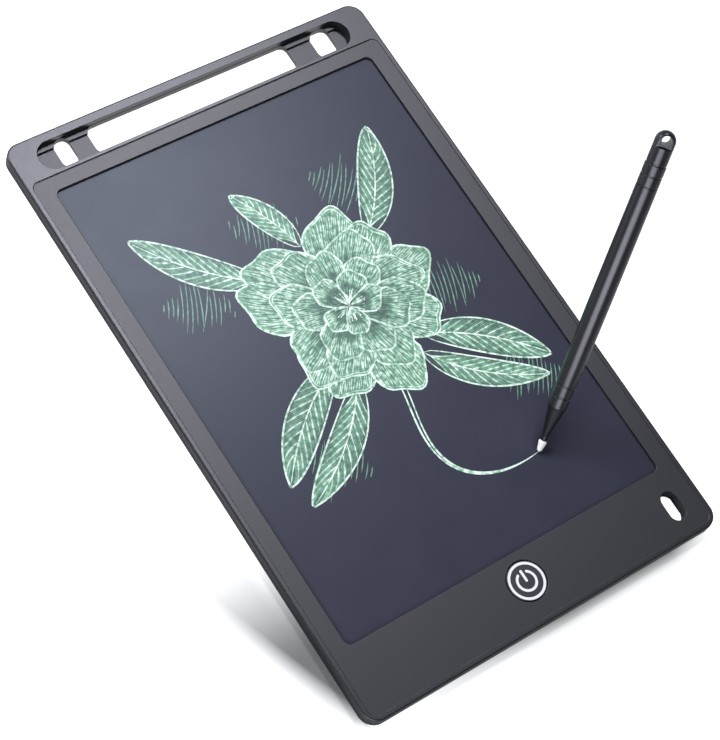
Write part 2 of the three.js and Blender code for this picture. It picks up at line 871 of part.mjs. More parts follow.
function doorScrew() {
  const head = doorScrewSink + doorScrewHeadHeight;
  const end = bridgeTop - doorScrewEndGap;
  const body = turned([
    [0, doorScrewSink],
    [doorScrewHeadRadius, doorScrewSink],
    [doorScrewRadius, head],
    [doorScrewRadius, end],
    [0, end],
  ], smallSteps);
  const half = driveWidth / 2;
  const reach = doorScrewHeadRadius * driveReachShare;
  const high = doorScrewSink + doorScrewHeadHeight * driveDepthShare;
  return cutBy(
    body,
    block(-reach, reach, -half, half, -overrun, high),
    block(-half, half, -reach, reach, -overrun, high));
}

// Contact leaf that presses on the cell's cap
function capLeaf() {
  const half = leafThickness / 2;
  const boardSeat = boardTop + half;
  const cellSeat = coverFloor + cellThickness + half;
  return strip([
    [boardLeft + leafFoot, boardSeat],
    [boardLeft - leafThickness, boardSeat],
    [boardLeft - leafThickness - leafRise, cellSeat],
    [cellX - leafReach, cellSeat],
  ], leafThickness, leafWidth);
}

// Contact leaf beside the cell's can: a foot on the board and a leg down past the rim
function rimLeaf() {
  const half = sideLeafWidth / 2;
  const nearEdge = sideLeafOffset - half;
  const rimX = cellX + Math.sqrt(cellRadius ** 2 - nearEdge ** 2) + sideLeafGap;
  const low = coverFloor + sideLeafFloorGap;
  return joined(
    block(rimX, boardLeft + sideLeafFoot, -half, half, boardTop, boardTop + leafThickness),
    block(rimX, rimX + leafThickness, -half, half, low, boardTop + leafThickness));
}

// Lock switch: the knob stands at the left end of its slot
function knobSlot() {
  const half = knobWidth / 2 + knobGap;
  const reach = knobLength / 2 + knobTravel / 2 + knobGap;
  return block(
    lockFromButton - reach, lockFromButton + reach, lockY - half, lockY + half,
    -overrun, coverFloor + overrun);
}

function lockKnob() {
  const half = knobLength / 2;
  const side = knobWidth / 2;
  const flangeLow = coverFloor + knobFlangeLift;
  const flangeHigh = flangeLow + knobFlangeThickness;
  const flangeHalf = half + knobGap + knobTravel + knobFlangeReach;
  const flangeSide = knobFlangeWidth / 2;
  const stub = knobStubSize / 2;
  const body = joined(
    block(-half, half, -side, side, knobSunk, flangeHigh),
    block(-flangeHalf, flangeHalf, -flangeSide, flangeSide, flangeLow, flangeHigh),
    block(-stub, stub, -stub, stub, flangeLow, flangeHigh + knobStubHeight));
  const ridges = [];
  for (let i = 0; i < knobRidges; i += 1) {
    const x = (i - (knobRidges - 1) / 2) * knobRidgePitch;
    ridges.push(block(
      x - knobRidgeWidth / 2, x + knobRidgeWidth / 2, -side - overrun, side + overrun,
      -overrun, knobSunk + knobRidgeDepth));
  }
  return cutBy(body, ...ridges);
}

function lockSwitchBody() {
  const flangeHigh = coverFloor + knobFlangeLift + knobFlangeThickness;
  const low = flangeHigh + lockBodyLift;
  const high = boardTop + lockBodyAbove;
  const half = lockBodyLength / 2;
  const side = lockBodyWidth / 2;
  const ears = half + lockEarReach;
  const room = knobStubSize / 2 + lockRecessGap;
  const roomAlong = room + knobTravel / 2;
  const roomHigh = flangeHigh + knobStubHeight + lockRecessGap;
  return cutBy(
    joined(
      block(-half, half, -side, side, low, high),
      block(-ears, ears, -side, side, boardTop, boardTop + lockEarThickness)),
    block(-roomAlong, roomAlong, -room, room, low - overrun, roomHigh));
}

// Stylus pieces along +Z, with the point at the origin
const coneStart = nibLength;
const coneEnd = coneStart + neckLength + coneLength;
const barrelStart = coneEnd + frontRings * ringLength;
const barrelEnd = stylusLength - capLength - rearRings * rearRingLength;

function stylusNib() {
  const points = [];
  for (let i = 0; i <= domeSteps; i += 1) {
    const angle = (i / domeSteps) * (Math.PI / 2);
    points.push([nibPointRadius * Math.sin(angle), nibPointRadius * (1 - Math.cos(angle))]);
  }
  return turned([
    ...points,
    [nibShoulderRadius, nibLength - nibPointRadius / 2],
    [nibShoulderRadius - grooveDepth, nibLength],
    [nibStemRadius, nibLength],
    [nibStemRadius, nibLength + nibStemLength],
    [0, nibLength + nibStemLength],
  ], smallSteps);
}

// A run of rings with a groove at the foot of each: [radius, height] points
function ringProfile(start, count, length, radius) {
  const points = [];
  for (let i = 0; i < count; i += 1) {
    const low = start + i * length;
    points.push(
      [radius - grooveDepth, low],
      [radius - grooveDepth, low + grooveWidth],
      [radius, low + grooveWidth],
      [radius, low + length]);
  }
  return points;
}

function stylusGrip() {
  const bore = nibStemRadius + nibStemGap;
  const boreEnd = nibLength + nibStemLength + nibStemEndGap;
  const spigot = barrelBore - spigotGap;
  return turned([
    [0, boreEnd],
    [bore, boreEnd],
    [bore, coneStart],
    [neckRadius, coneStart],
    [neckRadius, coneStart + neckLength],
    [coneEndRadius, coneEnd],
    ...ringProfile(coneEnd, frontRings, ringLength, ringRadius),
    [spigot, barrelStart],
    [spigot, barrelStart + spigotLength],
    [0, barrelStart + spigotLength],
  ]);
}

function stylusBarrel() {
  const belly = barrelStart + (barrelEnd - barrelStart) * stylusBellyShare;
  const outer = [
    [barrelFrontRadius - grooveDepth, barrelStart],
    [barrelFrontRadius, barrelStart + grooveWidth],
    [stylusRadius, belly],
    [barrelRearRadius, barrelEnd],
  ];
  const inner = [
    [barrelBore, barrelEnd],
    [barrelBore, barrelStart],
  ];
  return turned([...outer, ...inner, outer[0]]);
}

function stylusEndCap() {
  const domeStart = stylusLength - capRadius;
  const spigot = barrelBore - spigotGap;
  const dome = [];
  for (let i = 0; i <= domeSteps; i += 1) {
    const angle = (i / domeSteps) * (Math.PI / 2);
    dome.push([capRadius * Math.cos(angle), domeStart + capRadius * Math.sin(angle)]);
  }
  dome[dome.length - 1][0] = 0;
  const body = turned([
    [0, barrelEnd - spigotLength],
    [spigot, barrelEnd - spigotLength],
    [spigot, barrelEnd],
    ...ringProfile(barrelEnd, rearRings, rearRingLength, barrelRearRadius),
    [capRadius - grooveDepth, stylusLength - capLength],
    [capRadius - grooveDepth, stylusLength - capLength + grooveWidth],
    [capRadius, stylusLength - capLength + grooveWidth],
    ...dome,
  ]);
  const wide = capRadius + overrun;
  const flatLow = stylusLength - capFlatLength;
  const flats = [
    block(capFlatHalf, wide, -wide, wide, flatLow, stylusLength + overrun),
    block(-wide, -capFlatHalf, -wide, wide, flatLow, stylusLength + overrun),
  ];
  const holeMiddle = stylusLength - capHoleFromEnd - capHoleLength / 2;
  const holeOutline = obroundAlongY(0, 0, capHoleWidth, capHoleLength);
  const hole = plate(holeOutline, -wide, wide)
    .rotate([90, 0, 0]).rotate([0, 0, 90]).translate([0, 0, holeMiddle]);
  return cutBy(body, ...flats, hole);
}

// Assembly
const tablet = new THREE.Group();

function put(name, solid, material, place = [0, 0, 0], parent = tablet) {
  const mesh = new THREE.Mesh(geometryOf(solid), material);
  mesh.name = name;
  mesh.position.set(...place);
  parent.add(mesh);
}

function onBoard(fromButton, fromBottom) {
  return [fromButton, boardLow + fromBottom, boardTop];
}

put('back_cover', backCover(), caseBlack);
put('front_frame', frontFrame(), caseBlack);
put('film_tape', filmTape(), tapeGrey);
put('writing_film', writingFilm(), filmDark);
put('black_backing_sheet', backingSheet(), sheetBlack);
put('support_board', supportBoard(), supportWhite);

put('erase_button', eraseButton(), caseBlack, [0, buttonY, 0]);
put('push_switch_body', pushSwitchBody(), partBlack, [0, buttonY, boardTop]);
put(
  'push_switch_plunger', pushSwitchPlunger(), plungerWhite,
  [0, buttonY, pushSwitchTop - plungerSunk]);

put('main_board', mainBoard(), boardGreen);
boardScrewPlaces().forEach(([x, y], i) => {
  put(`board_screw_${i + 1}`, boardScrew(), steel, [x, y, boardTop]);
});
const coilX = -(flangeRadius + coilFlangeGap + coilRadius);
const connectorY = boardLength - connectorFromTop - connectorWidth / 2;
put('driver_chip', driverChip(), partBlack, onBoard(-chipFromButton, chipFromBottom));
put('boost_coil', boostCoil(), partBlack, onBoard(coilX, coilFromBottom));
put(
  'storage_capacitor', boxOnBoard(capacitorLength, capacitorWidth, capacitorHeight), ceramicTan,
  onBoard(capacitorFromButton, capacitorFromBottom));
put(
  'tail_connector', boxOnBoard(connectorLength, connectorWidth, connectorHeight), plungerWhite,
  onBoard(connectorFromButton, connectorY));
put('film_tail', filmTail(), tailAmber, [connectorFromButton, 0, 0]);

put('coin_cell', coinCell(), steel, [cellX, cellY, coverFloor]);
put('battery_leaf_negative', capLeaf(), steel, [0, cellY, 0]);
put('battery_leaf_positive', rimLeaf(), steel, [0, cellY - sideLeafOffset, 0]);
put('battery_door', batteryDoor(), caseBlack);
put('battery_door_screw', doorScrew(), steel, [cellX, doorScrewY, 0]);

put('lock_switch_body', lockSwitchBody(), steel, [lockFromButton, lockY, 0]);
put('lock_switch_knob', lockKnob(), penBlack, [lockFromButton - knobTravel / 2, lockY, 0]);

const stylus = new THREE.Group();
const lean = THREE.MathUtils.degToRad(stylusLean);
const bearing = THREE.MathUtils.degToRad(stylusBearing);
// The round nib leans, so its lowest point lies beside the axis and the point itself is lifted
const nibLift = nibPointRadius * (1 - Math.cos(lean));
stylus.position.set(
  windowHalf - stylusFromWindowSide,
  windowLow + stylusFromWindowLow,
  filmTop + stylusGap + nibLift);
stylus.rotation.set(0, lean, bearing, 'ZYX');
tablet.add(stylus);
put('stylus_nib', stylusNib(), nibWhite, [0, 0, 0], stylus);
put('stylus_grip', stylusGrip(), penBlack, [0, 0, 0], stylus);
put('stylus_barrel', stylusBarrel(), penBlack, [0, 0, 0], stylus);
put('stylus_end_cap', stylusEndCap(), penBlack, [0, 0, 0], stylus);

export default tablet;
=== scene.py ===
"""A writing tablet with a pressure-sensitive film screen, and its stylus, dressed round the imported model.

Every mesh is worked out in metres in the model's frame, so each piece's object stays at the origin. The
shells are profiles carried round outlines, then joined and cut as solids. The stylus is turned about its
own axis and laid along it. The drawing is ribbons along curves, about a tenth of a millimetre high at
most.
"""

import math

import bmesh
import bpy
import numpy as np
from bpy.props import FloatProperty, FloatVectorProperty, IntProperty, PointerProperty
from mathutils import Euler, Matrix, Vector


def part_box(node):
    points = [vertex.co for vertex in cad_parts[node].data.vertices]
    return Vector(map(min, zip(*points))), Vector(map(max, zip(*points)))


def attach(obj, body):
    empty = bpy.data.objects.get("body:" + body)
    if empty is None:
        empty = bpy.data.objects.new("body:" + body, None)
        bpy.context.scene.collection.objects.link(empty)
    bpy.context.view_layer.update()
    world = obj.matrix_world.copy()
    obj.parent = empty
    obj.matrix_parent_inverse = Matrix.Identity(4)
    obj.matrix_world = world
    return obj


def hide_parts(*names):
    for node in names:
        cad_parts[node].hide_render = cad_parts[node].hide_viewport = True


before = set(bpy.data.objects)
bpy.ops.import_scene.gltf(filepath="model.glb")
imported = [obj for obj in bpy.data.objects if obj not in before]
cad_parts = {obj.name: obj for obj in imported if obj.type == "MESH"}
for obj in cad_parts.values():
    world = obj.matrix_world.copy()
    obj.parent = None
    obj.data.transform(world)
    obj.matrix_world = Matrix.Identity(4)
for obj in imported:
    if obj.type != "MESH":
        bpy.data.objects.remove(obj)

bl_info = {
    "name": "LCD writing tablet",
    "version": (1, 0, 0),
    "blender": (4, 5, 0),
    "location": "View3D > Sidebar > Tablet",
    "description": "Builds a writing tablet and its stylus round the packed model",
    "category": "Object",
}

MM = 0.001
TINY = 1e-6
SHARP = math.radians(35)
# How far a solid reaches into the one it joins, and past the one it cuts
OVERLAP = 0.2 * MM
PAST = 1 * MM

case_low, case_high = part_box("back_cover")
frame_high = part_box("front_frame")[1]
film_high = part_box("writing_film")[1]
cap_low, cap_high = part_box("erase_button")
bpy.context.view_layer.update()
CASE_X, CASE_Y = (case_low.x, case_high.x), (case_low.y, case_high.y)
BUTTON_Y = (cap_low.y + cap_high.y) / 2


# Kinds of setting

def linear(code):
    """Linear colour with alpha, from an sRGB hex value such as 2b2c31"""
    parts = np.array([int(code[i:i + 2], 16) for i in (0, 2, 4)]) / 255
    parts = np.where(parts <= 0.04045, parts / 12.92, ((parts + 0.055) / 1.055) ** 2.4)
    return (*parts.tolist(), 1.0)


def numbers(description, values, **kind):
    """A setting of one number or several"""
    if len(values) == 1:
        return FloatProperty(description=description, default=values[0], **kind)
    return FloatVectorProperty(description=description, default=values, size=len(values), **kind)


def length(description, *mms):
    return numbers(description, [mm * MM for mm in mms], unit="LENGTH", precision=5)


def degrees(description, *turns):
    return numbers(description, [math.radians(turn) for turn in turns], unit="ROTATION")


def share(description, value):
    return FloatProperty(description=description, default=value, min=0, max=1, subtype="FACTOR")


def watts(description, value):
    return FloatProperty(description=description, default=value, unit="POWER")


def colour(description, code):
    return FloatVectorProperty(
        description=description, default=linear(code), size=4, min=0, max=1, subtype="COLOR")


def named(group):
    """Names each setting of a group by the words of its key"""
    for key, setting in group.__annotations__.items():
        setting.keywords["name"] = key.replace("_", " ").capitalize()
    return group


@named
class CaseSizes(bpy.types.PropertyGroup):
    corner: length("Radius of the case's corners, seen from above", 5.6)
    edge: length("Radius along the case's upper and lower edges", 0.7)
    wall: length("Thickness of the frame's side wall", 1.6)
    floor: length("Thickness of the cover's floor", 1.0)
    parting: length("Height at which the shells meet", 2.2)
    seam: length("Depth and height of the groove where the shells meet", 0.3, 0.15)
    lip: length("How far in the cover's lip starts and ends", 1.8, 2.4)
    lip_rise: length("Height of the cover's lip over the parting", 0.9)
    rim: length("Width of the raised rim", 1.9)
    panel_corner: length("Radius of the sunk panel's corners", 2.8)
    panel_high: length("Y of the sunk panel's far edge", 96.8)
    panel_top: length("Height of the sunk panel", 4.7)
    panel_under: length("Height of the panel's underside", 3.9)
    window_x: length("X of the window's sides", -64.45, 64.45)
    window_y: length("Y of the window's near and far sides", -87.3, 91.2)
    window_corner: length("Radius of the window's corners", 2.4)
    gutter: length("Width and depth of the groove along the sunk panel's far edge", 0.3, 0.2)
    break_edge: length("Rounds on the edges of the openings in the panel and in the rim", 0.2, 0.09)
    seam_round: length("Round on the frame's lower edge", 0.12)


@named
class TraySizes(bpy.types.PropertyGroup):
    tray_x: length("X of the tray's ends", -63.1, 63.1)
    tray_y: length("Y of the tray's near and far sides", 98.0, 109.1)
    tray_wall: length("Thickness of the trough's wall under the panel", 0.8)
    tray_floor: length("Height of the tray's floor", 1.5)
    ledge_y: length("Y of the near side of the ledge along the far wall", 107.0)
    ledge_top: length("Height of the ledge", 2.5)
    slots_x: length("X of the three slots' ends", -55.1, -49.0, -42.0, 39.9, 49.6, 57.5)
    slots_y: length("Y of the slots' near and far sides", 98.4, 109.0)
    slot_corner: length("Radius of the slots' corners", 2.9)
    lanyard_x: length("X of the lanyard slot's sides", 57.9, 64.0)
    lanyard_y: length("Y of the lanyard slot's ends", -105.8, -95.0)
    lanyard_wall: length("Thickness of the lanyard slot's wall under the panel", 1.0)


@named
class InsideSizes(bpy.types.PropertyGroup):
    rib: length("Thickness of the cover's ribs", 0.9)
    rib_x: length("X of the ribs that run along the case", -45, -15, 15, 45)
    rib_y: length("Y of the long ribs' ends", -73.0, 92.0)
    rib_top: length("Height of the long ribs", 2.3)
    cross_reach: length("How far the cross ribs reach from the middle", 62.0)
    cross_inset: length("How far in from the long ribs' ends the outer ones stand", 3.0)
    cross_drop: length("How much lower than the long ribs they are", 0.3)
    boss: length("Radius of the bosses under the board's screws", 2.2)
    boss_x: length("X of the board's screws", -17.8, 22.8)
    boss_y: length("Y of the board's screws", -104.7, -93.1)
    boss_top: length("Height of the bosses", 1.65)
    boss_bore: length("Radius of the holes for the board's screws", 0.87)
    boss_floor: length("Height at which those holes end", 0.35)


@named
class BackSizes(bpy.types.PropertyGroup):
    door_x: length("X of the battery door's sides", -47.5, -22.5)
    door_y: length("Y of the battery door's ends", -107.3, -80.5)
    door_corner: length("Radius of the door's corners", 2.0)
    door_gap: length("Gap round the door", 0.25)
    door_edge: length("Round on the door's edges and on the opening's", 0.15)
    bridge: length("Depth, side reach and far reach of the land over the door's screw end", 7.0, 2.45, 1.2)
    bridge_drop: length("How much lower than the long ribs that land is", 0.1)
    screw_y: length("Y of the door's screw", -83.4)
    screw_head: length("Radius of the screw's head", 1.35)
    screw_shank: length("Radius of the screw's shank", 0.7)
    screw_sink: length("How deep the screw's head lies under the back", 0.1)
    screw_taper: length("Height of the screw's countersunk head", 0.6)
    screw_gap: length("Gap round the screw", 0.12)
    drive: length("Width, reach and depth of the screw's cross", 0.35, 0.92, 0.3)
    grip: length("Length, width, depth and pitch of the door's grooves", 9.0, 0.8, 0.35, 1.8)
    tongue: length("Width, reach, thickness and lift of the tongues", 4.0, 1.8, 0.5, 0.15)
    cell: length("X, Y and radius of the ring that holds the coin cell", -35.0, -96.6, 10.25)
    ring: length("Thickness and top height of the cell's ring", 0.75, 2.1)
    knob: length("X and Y of the lock knob at rest", 18.0, -104.0)
    knob_half: length("Half the knob's length and width", 2.3, 1.4)
    knob_round: length("Radius of the knob's corners and round on its edges", 0.3, 0.07)
    knob_travel: length("How far the knob slides", 2.0)
    knob_gap: length("Gap round the knob", 0.2)
    knob_low: length("How deep the knob's face lies under the back", 0.25)
    flange: length("Heights of the knob's flange", 1.05, 1.35)
    flange_half: length("Half the flange's length and width", 4.9, 2.3)
    stub: length("Half the width of the stub and its top height", 0.6, 1.95)
    ridge: length("Pitch, width and depth of the knob's grooves", 1.2, 0.4, 0.2)


@named
class ButtonSizes(bpy.types.PropertyGroup):
    radius: length("Radius of the erase button's cap", 6.9)
    gap: length("Gap round the cap", 0.25)
    edge: length("Round on the cap's upper edge", 0.25)
    under: length("Height of the underside of the cap's flange", 3.5)
    stem: length("Radius of the cap's stem", 1.5)
    ring: length("Inner and outer radius of the printed ring", 5.6, 6.5)
    arc: length("Inner and outer radius of the printed arc", 2.85, 3.75)
    arc_opening: degrees("Angle left open at the top of the arc", 64)
    bar: length("Ends of the printed bar, measured from the cap's middle", -0.3, 4.1)
    ink: length("Thickness of the print", 0.02)


@named
class StylusSizes(bpy.types.PropertyGroup):
    point: length("Where the stylus's point is", 30.9, -62.2, 4.035)
    lean: degrees("Angle of the stylus from upright", 39.3)
    bearing: degrees("Direction the stylus leans in, from +X towards +Y", 44.2)
    whole: length("Length of the stylus", 116)
    nib: length("Radius of the point, radius of the shoulder and length", 0.95, 1.45, 4.2)
    neck: length("Radius and length of the neck", 1.05, 1.6)
    cone: length("Radius at the cone's end and its length", 3.05, 11.0)
    front_ring: length("Radius and length of each front ring", 3.3, 4.1)
    rear_ring: length("Radius and length of each rear ring", 3.62, 3.8)
    groove: length("Width and depth of the grooves", 0.5, 0.22)
    barrel: length("Radius of the barrel at its front, middle and rear", 3.4, 3.68, 3.62)
    bore: length("Radius of the barrel's bore", 2.5)
    spigot: length("Radius and length of the spigots in the barrel", 2.35, 6.0)
    cap: length("Radius and length of the end cap", 3.46, 11.4)
    flat: length("Half the width between the cap's flats and their length", 2.2, 5.4)
    hole: length("Width, length and distance from the end of the cap's hole", 3.2, 3.3, 1.15)
    stem: length("Radius and length of the nib's stem", 0.55, 4.0)


@named
class SketchSizes(bpy.types.PropertyGroup):
    seed: IntProperty(description="Seed of the hatching's unevenness", default=4)
    height: length("Height of the lowest leaves over the film, and of each step over them", 0.01, 0.0016)
    line: length("Width of an outline and of a hatching stroke", 0.75, 0.42)
    spacing: length("Distance between hatching strokes", 1.05)


@named
class Colours(bpy.types.PropertyGroup):
    case: colour("Moulded charcoal ABS", "17181b")
    film: colour("Unwritten film", "30303e")
    stroke: colour("A firm stroke on the film", "dcefe2")
    wash: colour("A light stroke on the film", "76a68a")
    print: colour("Pad-printed mark on the erase button", "dddde3")
    stylus: colour("Satin ABS of the stylus", "141519")
    nib: colour("White acetal", "f2f2ee")
    knob: colour("Black ABS of the lock knob", "17181a")
    steel: colour("Nickel plate", "c3c2bf")
    board: colour("Green solder mask", "1f5a38")
    epoxy: colour("Moulded epoxy and ferrite", "1a1a1c")
    ceramic: colour("Sintered ceramic", "9b8360")
    nylon: colour("Unpainted nylon", "dedbd0")
    amber: colour("Polyimide film", "a4641c")
    tissue: colour("Tissue tape", "8e8e89")
    styrene: colour("Polystyrene sheet", "d6d6d1")
    sheet: colour("Matt black sheet", "111113")


@named
class StageSettings(bpy.types.PropertyGroup):
    camera_place: length("Where the camera stands", -333.2, -190.1, 653.2)
    camera_turn: degrees("The camera's turns about X, Y and Z", 26.2939, -14.6526, -33.9192)
    focal: FloatProperty(description="Focal length in millimetres on a 36 mm sensor", default=110.85)
    lamp_aim: degrees("Direction of the softbox, from +X towards +Y, and its angle over the floor", 51, 59)
    lamp_distance: length("Distance of the lamps from the tablet's middle, but for the strip lamp", 1400)
    lamp_size: length("Side of the square softbox", 240)
    lamp_power: watts("Power of the softbox", 11.5)
    ambient: share("Level of the light from all round", 0.12)
    under_power: watts("Power of the lamp under the floor, for views from below", 24.0)
    side_aim: degrees("Direction of the low strip lamp and its angle over the floor", 216, 21.5)
    side_distance: length("Distance of the strip lamp from the stylus", 850)
    side_size: length("Width and height of the strip lamp", 760, 180)
    side_power: watts("Power of the strip lamp", 5.8)
    fill_aim: degrees("Direction of the broad fill lamp and its angle over the floor", 120, 34)
    fill_size: length("Side of the square fill lamp", 600)
    fill_power: watts("Power of the fill lamp", 14.5)
    floor: colour("Paper sweep under the tablet", "d2d2d2")
    sweep: length("Radius at which the floor starts to curve up", 2600)
    sweep_rise: length("Height of the floor's upturned edge", 900)
    floor_gap: length("How far the floor lies under the tablet", 0.03)
    lift: share("Level by which the paper is lifted beside the tablet", 0.5)
    # The paper's soft shadow, in a fan and a strip, is painted into its tone
    shade: share("How much the soft shadow darkens the paper's own tone", 0.75)
    near_shade: share("Depth of the soft shadow along the near wall", 0.8)


# Spans, outlines, profiles and solids

def about(at, reach):
    return at - reach, at + reach


def half(span):
    return (span[1] - span[0]) / 2


def middle(span):
    return (span[0] + span[1]) / 2


def circle(turns, radius=1.0):
    """Points of a circle: the radius times the cosine and sine of each turn"""
    return radius * np.stack([np.cos(turns), np.sin(turns)], -1)


def outline(x, y, radius, inset=0.0, steps=14):
    """Closed outline of a rectangle with round corners, counter-clockwise from the lower right. At each
    corner it is the corner's centre plus a quarter of a circle."""
    r = max(radius - inset, TINY)
    centre_x = np.array([x[1], x[1], x[0], x[0]]) + np.array([-1, -1, 1, 1]) * (inset + r)
    centre_y = np.array([y[0], y[1], y[1], y[0]]) + np.array([1, -1, -1, 1]) * (inset + r)
    turns = np.radians([-90, 0, 90, 180])[:, None] + np.linspace(0, np.pi / 2, steps + 1)
    centres = np.stack([centre_x, centre_y], -1)
    return (centres[:, None] + circle(turns, r)).reshape(-1, 2)


def eased(points, radii, steps=5):
    """An open line of straight sides with its corners rounded. At each corner it follows the circle that
    touches both sides: the radius to one side is turned evenly into the radius to the other."""
    points = np.asarray(points, float)
    radii = np.broadcast_to(np.asarray(radii, float), len(points) - 2)
    before, after = points[:-2] - points[1:-1], points[2:] - points[1:-1]
    before = before / np.linalg.norm(before, axis=1, keepdims=True)
    after = after / np.linalg.norm(after, axis=1, keepdims=True)
    opening = np.arccos(np.clip((before * after).sum(1), -1, 1)) / 2
    bisector = (before + after) / np.linalg.norm(before + after, axis=1, keepdims=True)
    centres = points[1:-1] + bisector * (radii / np.sin(opening))[:, None]
    reach = (radii / np.tan(opening))[:, None]
    start = points[1:-1] + before * reach - centres
    end = points[1:-1] + after * reach - centres
    sweep = (np.pi - 2 * opening)[:, None, None]
    part = np.linspace(0, 1, steps + 1)[None, :, None]
    arcs = np.sin((1 - part) * sweep) * start[:, None] + np.sin(part * sweep) * end[:, None]
    arcs = centres[:, None] + arcs / np.sin(sweep)
    return np.concatenate([points[:1], arcs.reshape(-1, 2), points[-1:]])


def carried(x, y, radius, profile):
    """A profile of [inset, height] points carried round an outline: each row of the grid is the outline
    drawn in by a point's inset, at that point's height."""
    rows = [outline(x, y, radius, inset) for inset, _ in profile]
    heights = np.repeat(np.asarray(profile)[:, 1:2], len(rows[0]), axis=1)
    return np.concatenate([np.stack(rows), heights[..., None]], -1)


def turned(profile, steps=96):
    """A profile of [radius, height] points turned about Z: radius times cosine, radius times sine, height"""
    profile = np.asarray(profile, float)
    turns = np.linspace(0, 2 * np.pi, steps, endpoint=False)
    radius, height = profile[:, :1], np.repeat(profile[:, 1:], steps, axis=1)
    return np.stack([radius * np.cos(turns), radius * np.sin(turns), height], -1)


def quads(index):
    """Faces between the neighbouring rows and columns of grids of point numbers"""
    corners = [index[..., :-1, :-1], index[..., :-1, 1:], index[..., 1:, 1:], index[..., 1:, :-1]]
    return np.stack(corners, -1).reshape(-1, 4)


def welded(mesh, reach, thin=False):
    """Merges a mesh's points that lie within a reach and turns its faces outward. With thin, faces without
    area are dropped too."""
    shape = bmesh.new()
    shape.from_mesh(mesh)
    bmesh.ops.remove_doubles(shape, verts=shape.verts, dist=reach)
    if thin:
        bmesh.ops.dissolve_degenerate(shape, edges=shape.edges, dist=reach)
    bmesh.ops.recalc_face_normals(shape, faces=shape.faces)
    shape.to_mesh(mesh)
    shape.free()
    return mesh


def mesh_of(grid, ends="capped"):
    """Mesh of a grid whose rows close on themselves. Its first and last row are capped by one face each,
    joined to each other, or left open. Rows of one repeated point become poles."""
    index = np.arange(grid[..., 0].size).reshape(grid.shape[:2])
    around = np.hstack([index, index[:, :1]])
    if ends == "joined":
        around = np.vstack([around, around[:1]])
    faces = quads(around).tolist()
    if ends == "capped":
        faces += [index[0, ::-1].tolist(), index[-1].tolist()]
    mesh = bpy.data.meshes.new("solid")
    mesh.from_pydata(grid.reshape(-1, 3).tolist(), [], faces)
    return welded(mesh, TINY / 2)


def prism(x, y, radius, low, high, grown=0.0):
    """An upright solid over a rectangle with round corners, which can be grown all round"""
    return mesh_of(carried(x, y, radius, [(-grown, low), (-grown, high)]))


def block(x, y, low, high):
    return prism(x, y, 2 * TINY, low, high)


def disc(x, y, radius, low, high):
    return prism(about(x, radius), about(y, radius), radius, low, high)


def combined(base, joined=(), cut=(), kept=()):
    """A solid joined with some solids, then cut by some, then kept only where it lies in others"""
    work = {"UNION": joined, "DIFFERENCE": cut, "INTERSECT": kept}
    steps = [(operation, mesh) for operation, meshes in work.items() for mesh in meshes]
    shapes = [base] + [mesh for _, mesh in steps]
    pieces = [bpy.data.objects.new("solid", mesh) for mesh in shapes]
    for piece in pieces:
        bpy.context.scene.collection.objects.link(piece)
    for (operation, _), other in zip(steps, pieces[1:]):
        step = pieces[0].modifiers.new(operation, "BOOLEAN")
        step.operation, step.solver, step.object = operation, "EXACT", other
    graph = bpy.context.evaluated_depsgraph_get()
    mesh = bpy.data.meshes.new_from_object(pieces[0].evaluated_get(graph))
    for piece in pieces:
        bpy.data.objects.remove(piece)
    for shape in shapes:
        bpy.data.meshes.remove(shape)
    return mesh


def softened(mesh, *breaks):
    """Merges coplanar faces, then rounds sharp edges and marks the rounds, which the finish paints paler:
    rubbed wear, and a painted highlight. Each break is a round's size and the height at which the edges lie
    that it rounds."""
    shape = bmesh.new()
    shape.from_mesh(mesh)
    bmesh.ops.remove_doubles(shape, verts=shape.verts, dist=TINY)
    bmesh.ops.dissolve_limit(
        shape, angle_limit=math.radians(0.3), verts=shape.verts, edges=shape.edges)
    # The rounds are marked for the finish to paint paler: rubbed wear, and a painted highlight on the edges
    worn = shape.faces.layers.float.new("worn_edge")
    for size, height in breaks:
        level = [edge for edge in shape.edges if all(abs(end.co.z - height) < 5 * TINY for end in edge.verts)]
        made = bmesh.ops.bevel(
            shape, geom=[edge for edge in level if edge.calc_face_angle(0) > SHARP], offset=size,
            offset_type="OFFSET", segments=3, profile=0.5, affect="EDGES", clamp_overlap=False)
        for face in made["faces"]:
            face[worn] = 1.0
    shape.to_mesh(mesh)
    shape.free()
    return mesh


def show(name, mesh, body, slot, material, *replaced):
    """Makes a mesh a piece with a finish, which rides on a body and stands for the named nodes. Its slot of
    the record is not used."""
    mesh.name = name
    mesh.materials.clear()
    mesh.materials.append(finish(material))
    mesh.shade_smooth()
    mesh.set_sharp_from_angle(angle=SHARP)
    piece = bpy.data.objects.new(name, mesh)
    bpy.context.scene.collection.objects.link(piece)
    even = piece.modifiers.new("Even shading", "WEIGHTED_NORMAL")
    even.keep_sharp = True
    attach(piece, body)
    if replaced:
        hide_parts(*replaced)


# Finishes

def add(tree, kind, inputs=None, output=0, **settings):
    """Adds a node with its settings and gives one of its outputs. An input is linked where a socket is
    given and set otherwise."""
    new = tree.nodes.new(kind)
    for name, value in settings.items():
        setattr(new, name, value)
    for name, value in (inputs or {}).items():
        if isinstance(value, bpy.types.NodeSocket):
            tree.links.new(value, new.inputs[name])
        else:
            new.inputs[name].default_value = value
    return new.outputs[output] if new.outputs else None
